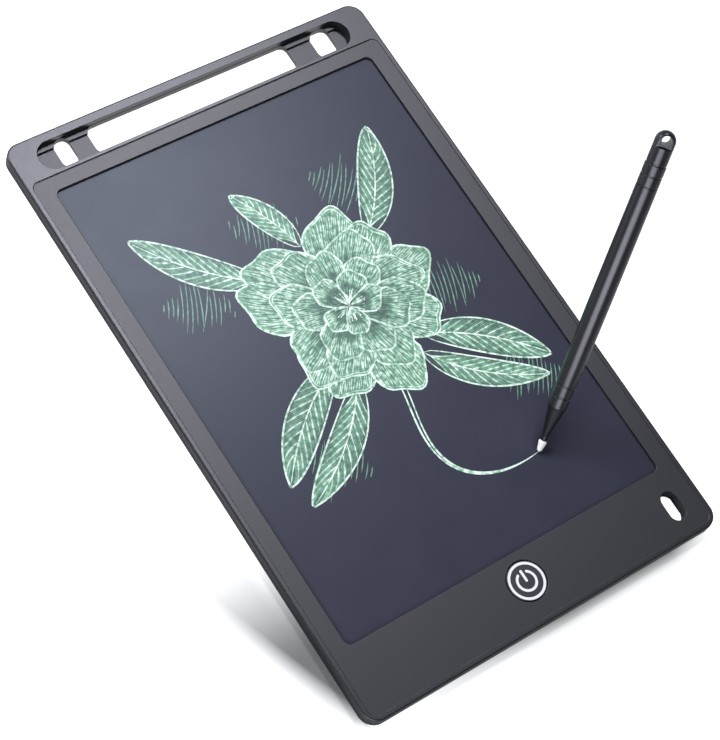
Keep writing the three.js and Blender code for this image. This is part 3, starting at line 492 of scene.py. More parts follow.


# Each finish has its colour's name, the size and height of its grain in millimetres, the roughnesses
# between which the grain varies it, the share by which a broad mottling varies its colour, and what only
# some have: other shader values, the grain's detail, how much paler rounded edges are painted, as rubbed
# wear and as a painted highlight, how much smoother the raised rim is, and how unevenly the film is pressed
FILM_SHINE = {"Specular IOR Level": 0.165, "Specular Tint": (0.8, 0.88, 1, 1)}
FINISHES = {
    # Charcoal ABS moulded against a spark-eroded tool: a fine even grain that spreads the light, painted
    # paler on its rounded edges as rubbed wear and as a painted highlight, and smoother on the raised rim.
    # The real grain is a tenth of a millimetre and is drawn at four tenths, to show at all.
    "Spark textured ABS": ("case", 0.4, 0.010, (0.4, 0.45), 0.06, {
        "IOR": 1.53, "Specular IOR Level": 0.54, "Specular Tint": (0.92, 0.91, 1, 1), "worn": 0.2,
        "raised": -0.045}),
    # Unwritten cholesteric film under a hard-coated polyester face: dark slate with a soft broad gloss
    "Liquid crystal film": ("film", 9.0, 0.0008, (0.325, 0.335), 0.03, {**FILM_SHINE, "detail": 0.0}),
    # The same film where it was pressed: pale green where pressed hard, and a thin teal where lightly, as
    # uneven as a hand's pressure
    "Written liquid crystal film": ("film", 1.6, 0.002, (0.325, 0.335), 0.08, {**FILM_SHINE, "written": 0.5}),
    # White ink pressed on by a silicone pad: flat, with the plastic's grain just showing through
    "Pad printed ink": ("print", 0.3, 0.004, (0.5, 0.62), 0.03, {}),
    # Near-black ABS from a finely stoned tool: a satin face with a long soft highlight
    "Satin ABS": ("stylus", 0.25, 0.003, (0.3, 0.35), 0.06, {
        "IOR": 1.53, "Specular Tint": (0.94, 0.93, 1, 1), "worn": 0.4}),
    # White acetal, turned smooth: slightly waxy
    "White acetal": ("nib", 0.3, 0.002, (0.3, 0.38), 0.02, {"IOR": 1.48}),
    # Black ABS moulded with a fine texture
    "Black ABS": ("knob", 0.3, 0.01, (0.42, 0.52), 0.06, {"IOR": 1.53, "worn": 0.8}),
    # Nickel plate on stamped and turned steel: bright, with fine working marks
    "Nickel plate": ("steel", 0.15, 0.003, (0.24, 0.36), 0.06, {"Metallic": 1.0}),
    # Green solder mask over copper on glass-fibre board: a thin wet-looking gloss over a faint weave
    "Solder mask": ("board", 0.5, 0.004, (0.3, 0.42), 0.15, {}),
    # Moulding compound of a chip package, and ferrite: dull black
    "Moulded epoxy": ("epoxy", 0.2, 0.006, (0.5, 0.65), 0.08, {}),
    # Sintered ceramic of a chip capacitor: tan and chalky
    "Sintered ceramic": ("ceramic", 0.2, 0.004, (0.45, 0.6), 0.08, {}),
    # Off-white moulded nylon of a connector: slightly waxy
    "Natural nylon": ("nylon", 0.3, 0.004, (0.42, 0.52), 0.04, {}),
    # Polyimide film of a flat tail: clear amber gloss
    "Polyimide film": ("amber", 0.8, 0.002, (0.22, 0.32), 0.12, {}),
    # Double-sided tape on a tissue carrier: short matt fibres
    "Tissue tape": ("tissue", 0.25, 0.02, (0.75, 0.9), 0.1, {}),
    # White polystyrene sheet: slightly glossy, with a faint orange peel
    "Styrene sheet": ("styrene", 0.6, 0.004, (0.4, 0.5), 0.03, {}),
    # Matt black polyester sheet behind the film
    "Matt black sheet": ("sheet", 0.4, 0.004, (0.65, 0.8), 0.05, {}),
}
CARRIED_FINISHES = {
    "Liquid crystal film": ["writing_film"],
    "Tissue tape": ["film_tape"],
    "Matt black sheet": ["black_backing_sheet"],
    "Styrene sheet": ["support_board"],
    "Moulded epoxy": ["push_switch_body", "driver_chip", "boost_coil"],
    "Natural nylon": ["push_switch_plunger", "tail_connector"],
    "Solder mask": ["main_board"],
    "Sintered ceramic": ["storage_capacitor"],
    "Polyimide film": ["film_tail"],
    "Nickel plate": [
        "board_screw_1", "board_screw_2", "coin_cell", "battery_leaf_negative", "battery_leaf_positive",
        "lock_switch_body"],
}


def finish(name):
    """The material of a name, made from its row the first time. A fine noise varies its roughness and
    stands out of it as grain. The colour is multiplied by a level, which a broad and the fine noise vary
    and a rounded edge raises: rubbed wear, and a painted highlight."""
    if name in bpy.data.materials:
        return bpy.data.materials[name]
    tone, grain, depth, gloss, mottle, other = FINISHES[name]
    tones = bpy.context.scene.tablet_colours
    material = bpy.data.materials.new(name)
    material.use_nodes = True
    tree = material.node_tree
    shader = tree.nodes["Principled BSDF"]
    spread = {"From Min": 0.3, "From Max": 0.7}
    place = add(tree, "ShaderNodeTexCoord", output="Object")
    fine, broad = (
        add(tree, "ShaderNodeTexNoise", {"Vector": place, "Scale": 1 / (size * MM), "Detail": detail})
        for size, detail in ((grain, other.get("detail", 3.0)), (40, 2.0)))
    level = add(tree, "ShaderNodeMapRange", {
        "Value": broad, **spread, "To Min": 0.94 - mottle, "To Max": 0.94 + mottle})
    level = add(tree, "ShaderNodeMath", {0: fine, 1: 0.12, 2: level}, operation="MULTIPLY_ADD")
    rough = add(tree, "ShaderNodeMapRange", {
        "Value": fine, **spread, "To Min": gloss[0], "To Max": gloss[1]})
    # Rounded edges painted paler: rubbed wear, and a painted highlight along them
    if "worn" in other:
        edge = add(tree, "ShaderNodeAttribute", output="Fac", attribute_name="worn_edge")
        patch = add(tree, "ShaderNodeMapRange", {
            "Value": broad, **spread, "To Min": 0.3 * other["worn"], "To Max": other["worn"]})
        level = add(tree, "ShaderNodeMath", {0: edge, 1: patch, 2: level}, operation="MULTIPLY_ADD")
    if "raised" in other:
        height = add(tree, "ShaderNodeSeparateXYZ", {"Vector": place}, "Z")
        smoother = add(tree, "ShaderNodeMapRange", {
            "Value": height, "From Min": frame_high.z - 0.25 * MM, "From Max": frame_high.z - 0.05 * MM,
            "To Min": 0.0, "To Max": other["raised"]})
        rough = add(tree, "ShaderNodeMath", {0: rough, 1: smoother}, operation="ADD")
    hue = tuple(getattr(tones, tone))
    if "written" in other:
        press = add(tree, "ShaderNodeAttribute", output="Fac", attribute_name="press")
        hand = add(tree, "ShaderNodeMapRange", {
            "Value": fine, **spread, "To Min": 1 - other["written"], "To Max": 1 + other["written"]})
        press = add(tree, "ShaderNodeMath", {0: press, 1: hand}, operation="MULTIPLY")
        for start, mark in ((0.0, tones.wash), (0.5, tones.stroke)):
            part = add(tree, "ShaderNodeMapRange", {
                "Value": press, "From Min": start, "From Max": start + 0.5})
            hue = add(tree, "ShaderNodeMix", {0: part, 6: hue, 7: tuple(mark)}, 2, data_type="RGBA")
    hue = add(tree, "ShaderNodeMix", {0: 1.0, 6: hue, 7: level}, 2, data_type="RGBA", blend_type="MULTIPLY")
    bump = add(tree, "ShaderNodeBump", {"Height": fine, "Strength": 0.5, "Distance": depth * MM})
    for socket, value in (("Base Color", hue), ("Roughness", rough), ("Normal", bump)):
        tree.links.new(value, shader.inputs[socket])
    for socket, value in other.items():
        if socket in shader.inputs:
            shader.inputs[socket].default_value = value
    return material


# Case

def slot_cutters(tray, high):
    """The tray's three slots and the lanyard slot, from under the case to a height"""
    ends = np.reshape(tray.slots_x, (3, 2)).tolist()
    slots = [prism(x, tray.slots_y, tray.slot_corner, -PAST, high) for x in ends]
    lanyard = (tray.lanyard_x, tray.lanyard_y, half(tray.lanyard_x))
    return [*slots, prism(*lanyard, -PAST, case_high.z + 2 * PAST)]


def frame_shell(case, tray, button):
    """The upper shell: its section carried round the case, joined with the trough and the eyelet, then
    cut by the sunk panel, the window, the tray, the button's hole and the slots"""
    top, above, under = frame_high.z, frame_high.z + PAST, case.panel_under + OVERLAP
    wall, foot = case.wall, case.parting
    section = eased(
        [(wall, case.panel_under), (wall, foot), (0, foot), (0, top), (wall, top)],
        (0, case.seam_round, case.edge))
    place = (tray.tray_x, tray.tray_y, half(tray.tray_y))
    trough = prism(*place, case.floor, under, tray.tray_wall)
    eyelet = prism(tray.lanyard_x, tray.lanyard_y, half(tray.lanyard_x), case.floor, under, tray.lanyard_wall)
    across, along = (CASE_X[0] + case.rim, CASE_X[1] - case.rim), (CASE_Y[0] + case.rim, case.panel_high)
    width, depth = case.gutter
    gutter = block(
        about(0, across[1] - case.panel_corner), (case.panel_high - width, case.panel_high),
        case.panel_top - depth, above)
    trench = combined(
        prism(*place, tray.tray_floor, top), cut=[block(CASE_X, (tray.ledge_y, CASE_Y[1]), 0, above)])
    cuts = [
        prism(across, along, case.panel_corner, case.panel_top, above), gutter,
        prism(case.window_x, case.window_y, case.window_corner, case.floor, above),
        prism(*place, tray.ledge_top, above), trench,
        disc(0, BUTTON_Y, button.radius + button.gap, 0, above), *slot_cutters(tray, tray.ledge_top + PAST)]
    shell = combined(mesh_of(carried(CASE_X, CASE_Y, case.corner, section)), [trough, eyelet], cuts)
    return softened(shell, (case.break_edge[0], case.panel_top), (case.break_edge[1], top))


def cover_shell(case, tray, inside, back):
    """The lower shell: its section with the lip carried round the case, joined with the ribs, the bosses
    and the bridge, then cut by the door's opening, the knob's slot and the slots"""
    (groove, tall), (outer, inner) = case.seam, case.lip
    meet, lip_top = case.parting, case.parting + case.lip_rise
    section = eased(
        [(inner + case.wall, 0), (0, 0), (0, meet - tall), (groove, meet - tall), (groove, meet),
         (outer, meet), (outer, lip_top), (inner, lip_top), (inner, case.floor)],
        (case.edge, 0.05 * MM, 0, 0, 0, 0, 0))
    sunk, thin = case.floor / 2, inside.rib / 2
    ribs = [block(about(at, thin), inside.rib_y, sunk, inside.rib_top) for at in inside.rib_x]
    crossings = np.linspace(inside.rib_y[0] + inside.cross_inset, inside.rib_y[1] - inside.cross_inset, 5)
    reach = about(0, inside.cross_reach)
    ribs += [block(reach, about(at, thin), sunk, inside.rib_top - inside.cross_drop) for at in crossings]
    screws = list(zip(inside.boss_x, inside.boss_y))
    bosses = [disc(*at, inside.boss, sunk, inside.boss_top) for at in screws]
    bores = [disc(*at, inside.boss_bore, inside.boss_floor, case.panel_under) for at in screws]
    deep, side, far = back.bridge
    door = (back.door_x, back.door_y, back.door_corner)
    end = back.door_y[1] + back.door_gap + far
    bridge = block(
        (back.door_x[0] - side, back.door_x[1] + side), (end - deep, end), sunk,
        inside.rib_top - back.bridge_drop)
    reach_x, reach_y = (size + back.knob_gap for size in back.knob_half)
    cuts = [
        *bores, prism(*door, -PAST, case.floor, back.door_gap),
        disc(middle(back.door_x), back.screw_y, back.screw_shank + back.screw_gap, 0, case.panel_under),
        block(
            (back.knob[0] - reach_x, back.knob[0] + back.knob_travel + reach_x), about(back.knob[1], reach_y),
            -PAST, case.floor + OVERLAP),
        *slot_cutters(tray, case_high.z + 2 * PAST)]
    shell = combined(mesh_of(carried(CASE_X, CASE_Y, case.corner, section)), [*ribs, *bosses, bridge], cuts)
    return softened(shell, (back.door_edge, 0))


def door_leaf(case, back):
    """The battery door: its plate joined with two tongues and the cell's ring, cut by the grip grooves
    and the screw's room"""
    centre, near = middle(back.door_x), back.door_y[0]
    width, reach, thick, lift = back.tongue
    low, high = case.floor + lift, case.floor + lift + thick
    aside, root = 8 * MM, near + 1.6 * MM
    joined = []
    for at in about(centre, aside):
        span = about(at, width / 2)
        joined.append(block(span, (near, root), case.floor / 2, high))
        joined.append(block(span, (near - reach, root), low, high))
    x, y, bore = back.cell
    wall, ring_top = back.ring
    left, side = 4 * MM, 9 * MM
    joined.append(combined(
        disc(x, y, bore + wall, case.floor / 2, ring_top), cut=[disc(x, y, bore, 0, case_high.z + PAST)],
        kept=[block((back.door_x[0], x - left), about(y, side), 0, case_high.z)]))
    length, width, depth, pitch = back.grip
    grips = [
        prism(about(centre, length / 2), about(root + i * pitch, width / 2), width / 2, -PAST, depth)
        for i in (1, 2, 3)]
    head, shank = back.screw_head + back.screw_gap, back.screw_shank + back.screw_gap
    room = mesh_of(turned([
        (0, -PAST), (head, -PAST), (head, back.screw_sink), (shank, back.screw_sink + back.screw_taper),
        (shank, 2 * PAST), (0, 2 * PAST)], 48) + np.array([centre, back.screw_y, 0]))
    leaf = combined(prism(back.door_x, back.door_y, back.door_corner, 0, case.floor), joined, [*grips, room])
    return softened(leaf, (back.door_edge, 0))


def door_screw(back):
    """A countersunk screw with a cross drive: its section turned about its axis, cut by two crossed bars"""
    head, end = back.screw_sink + back.screw_taper, 2 * MM
    body = mesh_of(turned(eased(
        [(0, back.screw_sink), (back.screw_head, back.screw_sink), (back.screw_shank, head),
         (back.screw_shank, end), (0, end)], (0.08 * MM, 0.05 * MM, 0.1 * MM), 3), 64))
    width, reach, depth = back.drive
    long, wide, high = about(0, reach), about(0, width / 2), back.screw_sink + depth
    screw = combined(body, cut=[block(long, wide, -PAST, high), block(wide, long, -PAST, high)])
    screw.transform(Matrix.Translation((middle(back.door_x), back.screw_y, 0)))
    return screw


def lock_knob(back):
    """The lock's knob: a ridged face in the slot, a flange over the floor and a stub into the switch"""
    x, y = back.knob
    (half_x, half_y), (flange_x, flange_y) = back.knob_half, back.flange_half
    stub, stub_top = back.stub
    corner, edge = back.knob_round
    pitch, width, depth = back.ridge
    joined = [
        block(about(x, flange_x), about(y, flange_y), *back.flange),
        block(about(x, stub), about(y, stub), back.flange[0], stub_top)]
    grooves = [
        block(about(at, width / 2), about(y, 2 * half_y), -PAST, back.knob_low + depth)
        for at in (x - pitch, x, x + pitch)]
    face = prism(about(x, half_x), about(y, half_y), corner, back.knob_low, back.flange[1])
    return softened(combined(face, joined, grooves), (edge, back.knob_low))


# Erase button

def button_cap(case, button):
    """The erase button's cap: its section turned about the button's axis"""
    flange = half((cap_low.x, cap_high.x))
    section = eased(
        [(0, cap_low.z), (button.stem, cap_low.z), (button.stem, button.under), (flange, button.under),
         (flange, case.panel_under), (button.radius, case.panel_under), (button.radius, cap_high.z),
         (0, cap_high.z)],
        (0.1 * MM, 0, 0.05 * MM, 0.05 * MM, 0, button.edge))
    return mesh_of(turned(section, 128) + np.array([0, BUTTON_Y, 0]))


def print_arc(button, low, high):
    """The printed arc with round ends: an outer arc, a half circle, an inner arc back, and a half circle"""
    inner, outer = button.arc
    centre, thick = middle(button.arc), half(button.arc)
    start = np.pi / 2 + button.arc_opening / 2
    end = start + 2 * np.pi - button.arc_opening
    sweep = np.linspace(start, end, 65)
    cap = np.linspace(0, np.pi, 13)[1:-1]
    around = np.concatenate([
        circle(sweep, outer), circle(end, centre) + circle(end + cap, thick),
        circle(sweep[::-1], inner), circle(start, centre) - circle(start + cap, thick)])
    return np.stack([np.column_stack([around, np.full(len(around), height)]) for height in (low, high)])


def standby_mark(button):
    """The ring, arc and bar printed on the cap, as thin solids of ink that stand on it. The ring is a low
    section with broken edges, turned about the button's axis."""
    low, high, edge = cap_high.z - button.ink, cap_high.z + button.ink, button.ink / 2
    inner, outer = button.ring
    section = [
        (outer, low), (outer, high - edge), (outer - edge, high), (inner + edge, high), (inner, high - edge),
        (inner, low)]
    thick = half(button.arc)
    bar = carried(about(0, thick), button.bar, thick, [(0, low), (0, high)])
    arc = print_arc(button, low, high)
    whole = bmesh.new()
    for mesh in (mesh_of(turned(section, 128), "joined"), mesh_of(arc), mesh_of(bar)):
        whole.from_mesh(mesh)
        bpy.data.meshes.remove(mesh)
    mark = bpy.data.meshes.new("mark")
    whole.to_mesh(mark)
    whole.free()
    mark.transform(Matrix.Translation((0, BUTTON_Y, 0)))
    return mark


# Stylus

# Rounds on the two corners of a groove's floor and on the edge over it
GROOVE_ROUNDS = (0.08 * MM, 0.08 * MM, 0.12 * MM)


def stylus_place(stylus):
    """Turns the stylus's own axis into the place it has over the screen"""
    turn = Matrix.Rotation(stylus.bearing, 4, "Z") @ Matrix.Rotation(stylus.lean, 4, "Y")
    return Matrix.Translation(stylus.point) @ turn


def grooved(start, radius, groove):
    """The groove at a ring's foot, as [radius, height] points: its floor, then out to the ring's edge"""
    width, depth = groove
    return [(radius - depth, start), (radius - depth, start + width), (radius, start + width)]


def ring_pair(start, ring, groove):
    """Two rings with a groove at the foot of each, as [radius, height] points and corner radii"""
    radius, pitch = ring
    points = []
    for low in (start, start + pitch):
        points += [*grooved(low, radius, groove), (radius, low + pitch)]
    return points, [*GROOVE_ROUNDS, GROOVE_ROUNDS[2]] * 2


def stylus_levels(stylus):
    """Distances from the point at which the stylus's pieces meet"""
    cone_end = stylus.nib[2] + stylus.neck[1] + stylus.cone[1]
    barrel_start = cone_end + 2 * stylus.front_ring[1]
    barrel_end = stylus.whole - stylus.cap[1] - 2 * stylus.rear_ring[1]
    return cone_end, barrel_start, barrel_end


def nib(stylus):
    """The nib: a ball point that widens to a shoulder, with its stem in the grip"""
    point, shoulder, end = stylus.nib
    stem, stem_length = stylus.stem
    ball = circle(np.linspace(-np.pi / 2, 0, 10), point) + np.array([0, point])
    flare = eased(
        [ball[-1], (shoulder, end - point / 2), (shoulder - 0.35 * MM, end), (stem, end),
         (stem, end + stem_length), (0, end + stem_length)], (0.3 * MM, 0, 0, 0.1 * MM))
    return mesh_of(turned(np.concatenate([ball, flare[1:]]), 64))


def grip(stylus):
    """The grip: a neck, a cone and two rings, with a bore for the nib and a spigot for the barrel"""
    bore = stylus.stem[0] + 0.12 * MM
    start = stylus.nib[2]
    bore_end = start + stylus.stem[1] + 0.2 * MM
    neck, neck_length = stylus.neck
    cone_end, barrel_start, _ = stylus_levels(stylus)
    spigot, spigot_length = stylus.spigot
    rings, radii = ring_pair(cone_end, stylus.front_ring, stylus.groove)
    points = [(0, bore_end), (bore, bore_end), (bore, start), (neck, start), (neck, start + neck_length),
              (stylus.cone[0], cone_end), *rings, (spigot, barrel_start),
              (spigot, barrel_start + spigot_length), (0, barrel_start + spigot_length)]
    radii = [0, 0, 0.15 * MM, 0.5 * MM, 0.16 * MM, *radii, 0, 0.2 * MM]
    return mesh_of(turned(eased(points, radii, 4)))


def barrel(stylus):
    """The barrel: a tube whose outer radius swells from the front to the middle as the first quarter of a
    sine wave, and falls to the rear as the second"""
    _, start, end = stylus_levels(stylus)
    front, most, rear = stylus.barrel
    width, depth = stylus.groove
    part = np.linspace(0, 1, 25)
    ends = np.where(part < 0.5, front, rear)
    swell = ends + (most - ends) * np.sin(np.pi * part)
    body = np.stack([swell, start + width + (end - start - width) * part], -1)
    foot = eased(
        [(front - depth, start), (front - depth, start + width - 0.1 * MM), (front, start + width), body[1]],
        (0.05 * MM, 0.16 * MM))
    tube = np.concatenate([foot[:-1], body[1:], [(stylus.bore, end), (stylus.bore, start)]])
    return mesh_of(turned(tube), "joined")


def end_cap(stylus):
    """The end cap: two rings, then a domed cap whose two sides are pressed flat, with a hole through them.
    The flats hold its half width: the flat's distance less an ease times the logarithm of one plus e to the
    power of what is left to the flat over the ease, and nothing at the axis."""
    _, _, start = stylus_levels(stylus)
    radius, cap_length = stylus.cap
    spigot, spigot_length = stylus.spigot
    rings, radii = ring_pair(start, stylus.rear_ring, stylus.groove)
    dome = circle(np.linspace(0, np.pi / 2, 17), radius) + np.array([0, stylus.whole - radius])
    points = [(0, start - spigot_length), (spigot, start - spigot_length), (spigot, start), *rings,
              *grooved(stylus.whole - cap_length, radius, stylus.groove), dome[0]]
    section = eased(points, [0.2 * MM, 0, *radii, *GROOVE_ROUNDS], 4)
    flat, flat_length = stylus.flat
    shoulder = stylus.whole - flat_length
    side = np.array([(radius, height) for height in about(shoulder, 0.02 * MM)])
    grid = turned(np.concatenate([section[:-1], side, dome]), 128)
    ease = 0.12 * MM
    inside = np.exp(np.clip((flat - np.abs(grid[..., 0])) / ease, -40, 40))
    soft = flat - ease * np.log1p(inside) + ease * np.log1p(np.exp(-flat / ease))
    pressed = np.sign(grid[..., 0]) * np.clip(soft, 0, flat)
    grid[..., 0] = np.where(grid[..., 2] > shoulder, pressed, grid[..., 0])
    width, length, from_end = stylus.hole
    hole = prism(about(0, length / 2), about(0, width / 2), width / 2, *about(0, 5 * MM))
    at = stylus.whole - from_end - length / 2
    hole.transform(Matrix.Translation((0, 0, at)) @ Matrix.Rotation(math.pi / 2, 4, "Y"))
    return softened(combined(mesh_of(grid), cut=[hole]))


# Drawing on the film

BLOSSOM = (3, 12)


def blade_points(blade, along, across):
    """Where a place on a petal or leaf lies on the film, from how far along it is, from 0 at the foot to 1,
    and how far across, from -1 to 1. Each line across ends at the square root of one less a part of across
    squared, with a ripple. The half width grows with a power of the distance along, and falls to nothing at
    a pointed tip. The blade bends aside by the square of the distance along."""
    foot_x, foot_y, angle, length, most, bend, blunt, pointed, ripple = blade[:9]
    reach = np.sqrt(1 - blunt * across ** 2) * (1 + ripple * np.cos(6 * across + 5 * angle))
    along = along * reach
    width = most * np.maximum(along, 0) ** 0.55 * np.maximum(1 - pointed * along ** 2, 0) ** 0.75
    ahead, aside = length * along, across * width + bend * length * along ** 2
    place = ahead[..., None] * circle(angle) + aside[..., None] * circle(angle + np.pi / 2)
    return place + np.array([foot_x, foot_y])


def leftward(paths):
    """Directions to the left of paths: along the path from point to point, turned by a quarter"""
    ahead = np.gradient(paths, axis=-2)
    side = np.stack([-ahead[..., 1], ahead[..., 0]], -1)
    return side / np.maximum(np.linalg.norm(side, axis=-1, keepdims=True), TINY ** 2)


def strokes(paths, width, top, low, press):
    """Strokes along paths, (strokes, points, 2): a flat box section carried along each, whose width tapers
    to its ends as the square root of a half sine wave, times one plus a small sine of its own phase. The
    tops can be one height, or one for each stroke."""
    count, points = paths.shape[:2]
    run = np.linspace(0, 1, points)
    taper = 0.2 + 0.8 * np.sqrt(np.sin(np.pi * run).clip(0))
    taper = taper * (1 + 0.16 * np.sin(9 * run + 2.4 * np.arange(count)[:, None]))
    reach = leftward(paths) * (np.broadcast_to(width, count)[:, None] * taper / 2)[..., None]
    corners = np.stack([paths + reach, paths + reach, paths - reach, paths - reach], 2)
    tops = np.broadcast_to(top, count)[:, None, None]
    heights = np.broadcast_to(np.where([False, True, True, False], tops, low), (count, points, 4))
    grid = np.concatenate([corners, heights[..., None]], -1)
    index = np.arange(count * points * 4).reshape(count, points, 4)
    around = np.concatenate([index, index[..., :1]], -1)
    faces = np.concatenate([quads(around), index[:, 0, ::-1], index[:, -1]])
    return grid.reshape(-1, 3), faces, np.repeat(np.broadcast_to(press, (count, points)).ravel(), 4)


def wash(blade, top, low, foot_press, tip_press):
    """The lightly pressed area of a blade: its surface at one height, closed by its copy at another. Its
    outermost points drop to the lower height, so the two meet, and its press grows towards the tip."""
    along = np.concatenate([[0], np.linspace(0.02, 0.99, 15), [1]])
    across = np.concatenate([[-1], np.linspace(-0.99, 0.99, 11), [1]])
    part_along, part_across = np.meshgrid(along, across, indexing="ij")
    flat = blade_points(blade, part_along, part_across)
    edge = np.ones(part_along.shape, bool)
    edge[1:-1, 1:-1] = False
    upper = np.concatenate([flat, np.where(edge, low, top)[..., None]], -1)
    lower = np.concatenate([flat, np.full(flat.shape[:2] + (1,), low)], -1)
    index = np.arange(flat[..., 0].size).reshape(flat.shape[:2])
    press = foot_press + (tip_press - foot_press) * part_along ** 1.5
    points = np.concatenate([upper.reshape(-1, 3), lower.reshape(-1, 3)])
    faces = np.concatenate([quads(index)[:, ::-1], quads(index) + index.size])
    return points, faces, np.tile(press.ravel(), 2)


def drawn(parts):
    """One closed mesh of several drawn parts, with how hard each point was pressed kept on it"""
    starts = np.cumsum([0] + [len(points) for points, _, _ in parts])
    mesh = bpy.data.meshes.new("drawn")
    points = np.concatenate([points for points, _, _ in parts])
    faces = np.concatenate([faces + start for (_, faces, _), start in zip(parts, starts)])
    mesh.from_pydata(points.tolist(), [], faces.tolist())
    press = mesh.attributes.new("press", "FLOAT", "POINT")
    press.data.foreach_set("value", np.concatenate([press for _, _, press in parts]).astype(np.float32))
    return welded(mesh, TINY / 4, thin=True)


def hatching(blade, chance, count, start, end, points=8):
    """Hatching along a blade: lines at even steps across it, each from near one share of its length to near
    another, slightly wavy"""
    across = np.linspace(-0.93, 0.93, count) + chance.normal(0, 0.35 / count, count)
    starts = np.clip(start + chance.normal(0, 0.05, count), 0.03, 0.97)
    ends = np.clip(end + chance.normal(0, 0.12, count) * (end - start), 0.05, 0.97)
    part = np.linspace(0, 1, points)
    along = starts[:, None] + (ends - starts)[:, None] * part
    wave = across[:, None] + 0.02 * np.sin(7 * part + chance.uniform(0, 6, count)[:, None])
    return blade_points(blade, along, wave.clip(-0.97, 0.97))


def border(blade, chance, points=60):
    """Outline of a blade, drawn twice by a loose hand: up one side, over the tip and down the other, where
    both lines stray along and across by small sines of their own phases"""
    turn = np.linspace(0, 1, points)
    along = np.minimum(np.minimum(turn * 2.8, (1 - turn) * 2.8), 1)
    across = np.clip((turn - 0.5) / (0.5 - 1 / 2.8), -1, 1)
    phase = chance.uniform(0, 6, (2, 2, 1))
    stray = np.array([[0.006], [0.022]])
    along = along * (1 - stray * (1 + np.sin(7 * turn + phase[0])))
    across = across * (1 - stray * (1.6 + np.sin(11 * turn + phase[1])))
    return blade_points(blade, along, across)


def shading(sketch, chance):
    """Loose hatching behind the blossom: patches of slanting strokes side by side, each slightly bowed"""
    place = np.array([(-44, 34), (-34, -34), (38, 4), (26, 52), (-8, 50), (44, -36)]) * MM
    slant = np.radians([62, 50, 70, 48, 66, 58])
    count = 16
    step = (np.arange(count) - count / 2) * 1.5 * sketch.spacing
    swell = np.sin(np.pi * (np.arange(count) + 1) / (count + 1))
    reach = chance.uniform(6, 11, (len(place), count)) * MM * swell
    slant = slant[:, None] + chance.normal(0, 0.05, reach.shape)
    ray, aside = circle(slant), circle(slant + np.pi / 2)
    part = np.linspace(-1, 1, 9)[:, None]
    shift = chance.normal(0, 1.2 * MM, reach.shape)
    centres = place[:, None] + aside * step[:, None] + ray * shift[..., None]
    centres, ray, aside, reach = (values[:, :, None] for values in (centres, ray, aside, reach[..., None]))
    return (centres + reach * (ray * part + 0.06 * aside * part ** 2)).reshape(-1, 9, 2)


def bouquet(sketch):
    """Petals and leaves from the lowest to the topmost, as rows for blade_points, each with its layer. The
    open blossom's petals stand in rings, where every second petal lies over its neighbours, and the last of
    an odd number over both."""
    chance = np.random.default_rng(sketch.seed)
    blades = []
    for row in (
        (-14, -4, 205, 46, 12, 0.25), (-10, -12, 236, 47, 11, -0.3), (20, -8, 338, 44, 12, -0.25),
        (16, -14, 304, 42, 10, 0.35), (24, 32, 40, 41, 12, 0.3), (-18, 32, 150, 46, 11, -0.25),
        (0, 38, 102, 29, 9, 0.2),
    ):
        blades.append((*row, 0.0, 1.0, 0.0, len(blades) % 2, 1))
    for ring, (count, length, width) in enumerate(((9, 36, 13), (8, 28, 11), (6, 20, 9), (5, 12, 6))):
        for i in range(count):
            angle = 360 * i / count + 19 * ring + chance.normal(0, 4)
            scale = chance.normal(1, 0.05)
            blades.append((
                *BLOSSOM, angle, length * scale, width * scale, chance.normal(0, 0.1), 0.55, 0.0, 0.035,
                2 + 3 * ring + (2 if i == count - 1 and count % 2 else i % 2), 0))
    table = np.array(blades, float)
    table[:, :2] *= MM
    table[:, 2] = np.radians(table[:, 2])
    table[:, 3:5] *= MM
    return table, chance


def leaf_strokes(blade, hatch):
    """Nine veins a side, each with three fainter strokes before the next: paths that leave the spine and run
    to the edge, their widths and how hard they are pressed"""
    turn = np.linspace(0, 1, 10)
    run = np.linspace(0.06, 0.82, 36)[:, None] + 0.2 * turn
    vein = np.arange(len(run)) % 4 == 0
    firm = np.where(vein, 0.85, 0.45)[:, None] * np.linspace(1.05, 0.7, 10)
    for sign in (-1, 1):
        paths = blade_points(blade, run.clip(0, 0.97), sign * 0.92 * turn * np.ones_like(run))
        yield paths, hatch * np.where(vein, 1.3, 0.9), firm


def petal_strokes(blade, hatch, chance, spacing):
    """Hatching at a petal's foot and firmer hatching from its tip, as paths, widths and pressures"""
    count = max(int(2 * blade[4] / spacing), 6)
    yield hatching(blade, chance, count - 2, 0.14, 0.48), hatch * 0.8, np.linspace(0.3, 0.5, 8)
    yield hatching(blade, chance, count + 5, 0.97, 0.62), hatch, np.linspace(0.82, 0.5, 8)


def stem(end):
    """The two lines of the stem: a curve of the fourth degree from the blossom to the stylus's point, moved
    to either side by an amount that falls to nothing at its end"""
    part = np.linspace(0, 1, 60)
    knots = np.vstack([np.array([(3, -18), (2, -34), (-10, -50), (4, -66)]) * MM, end])
    line = np.stack([math.comb(4, k) * part ** k * (1 - part) ** (4 - k) for k in range(5)], -1) @ knots
    aside = leftward(line) * 0.9 * MM * (1 - part)[:, None]
    return np.stack([line - aside, line + aside])


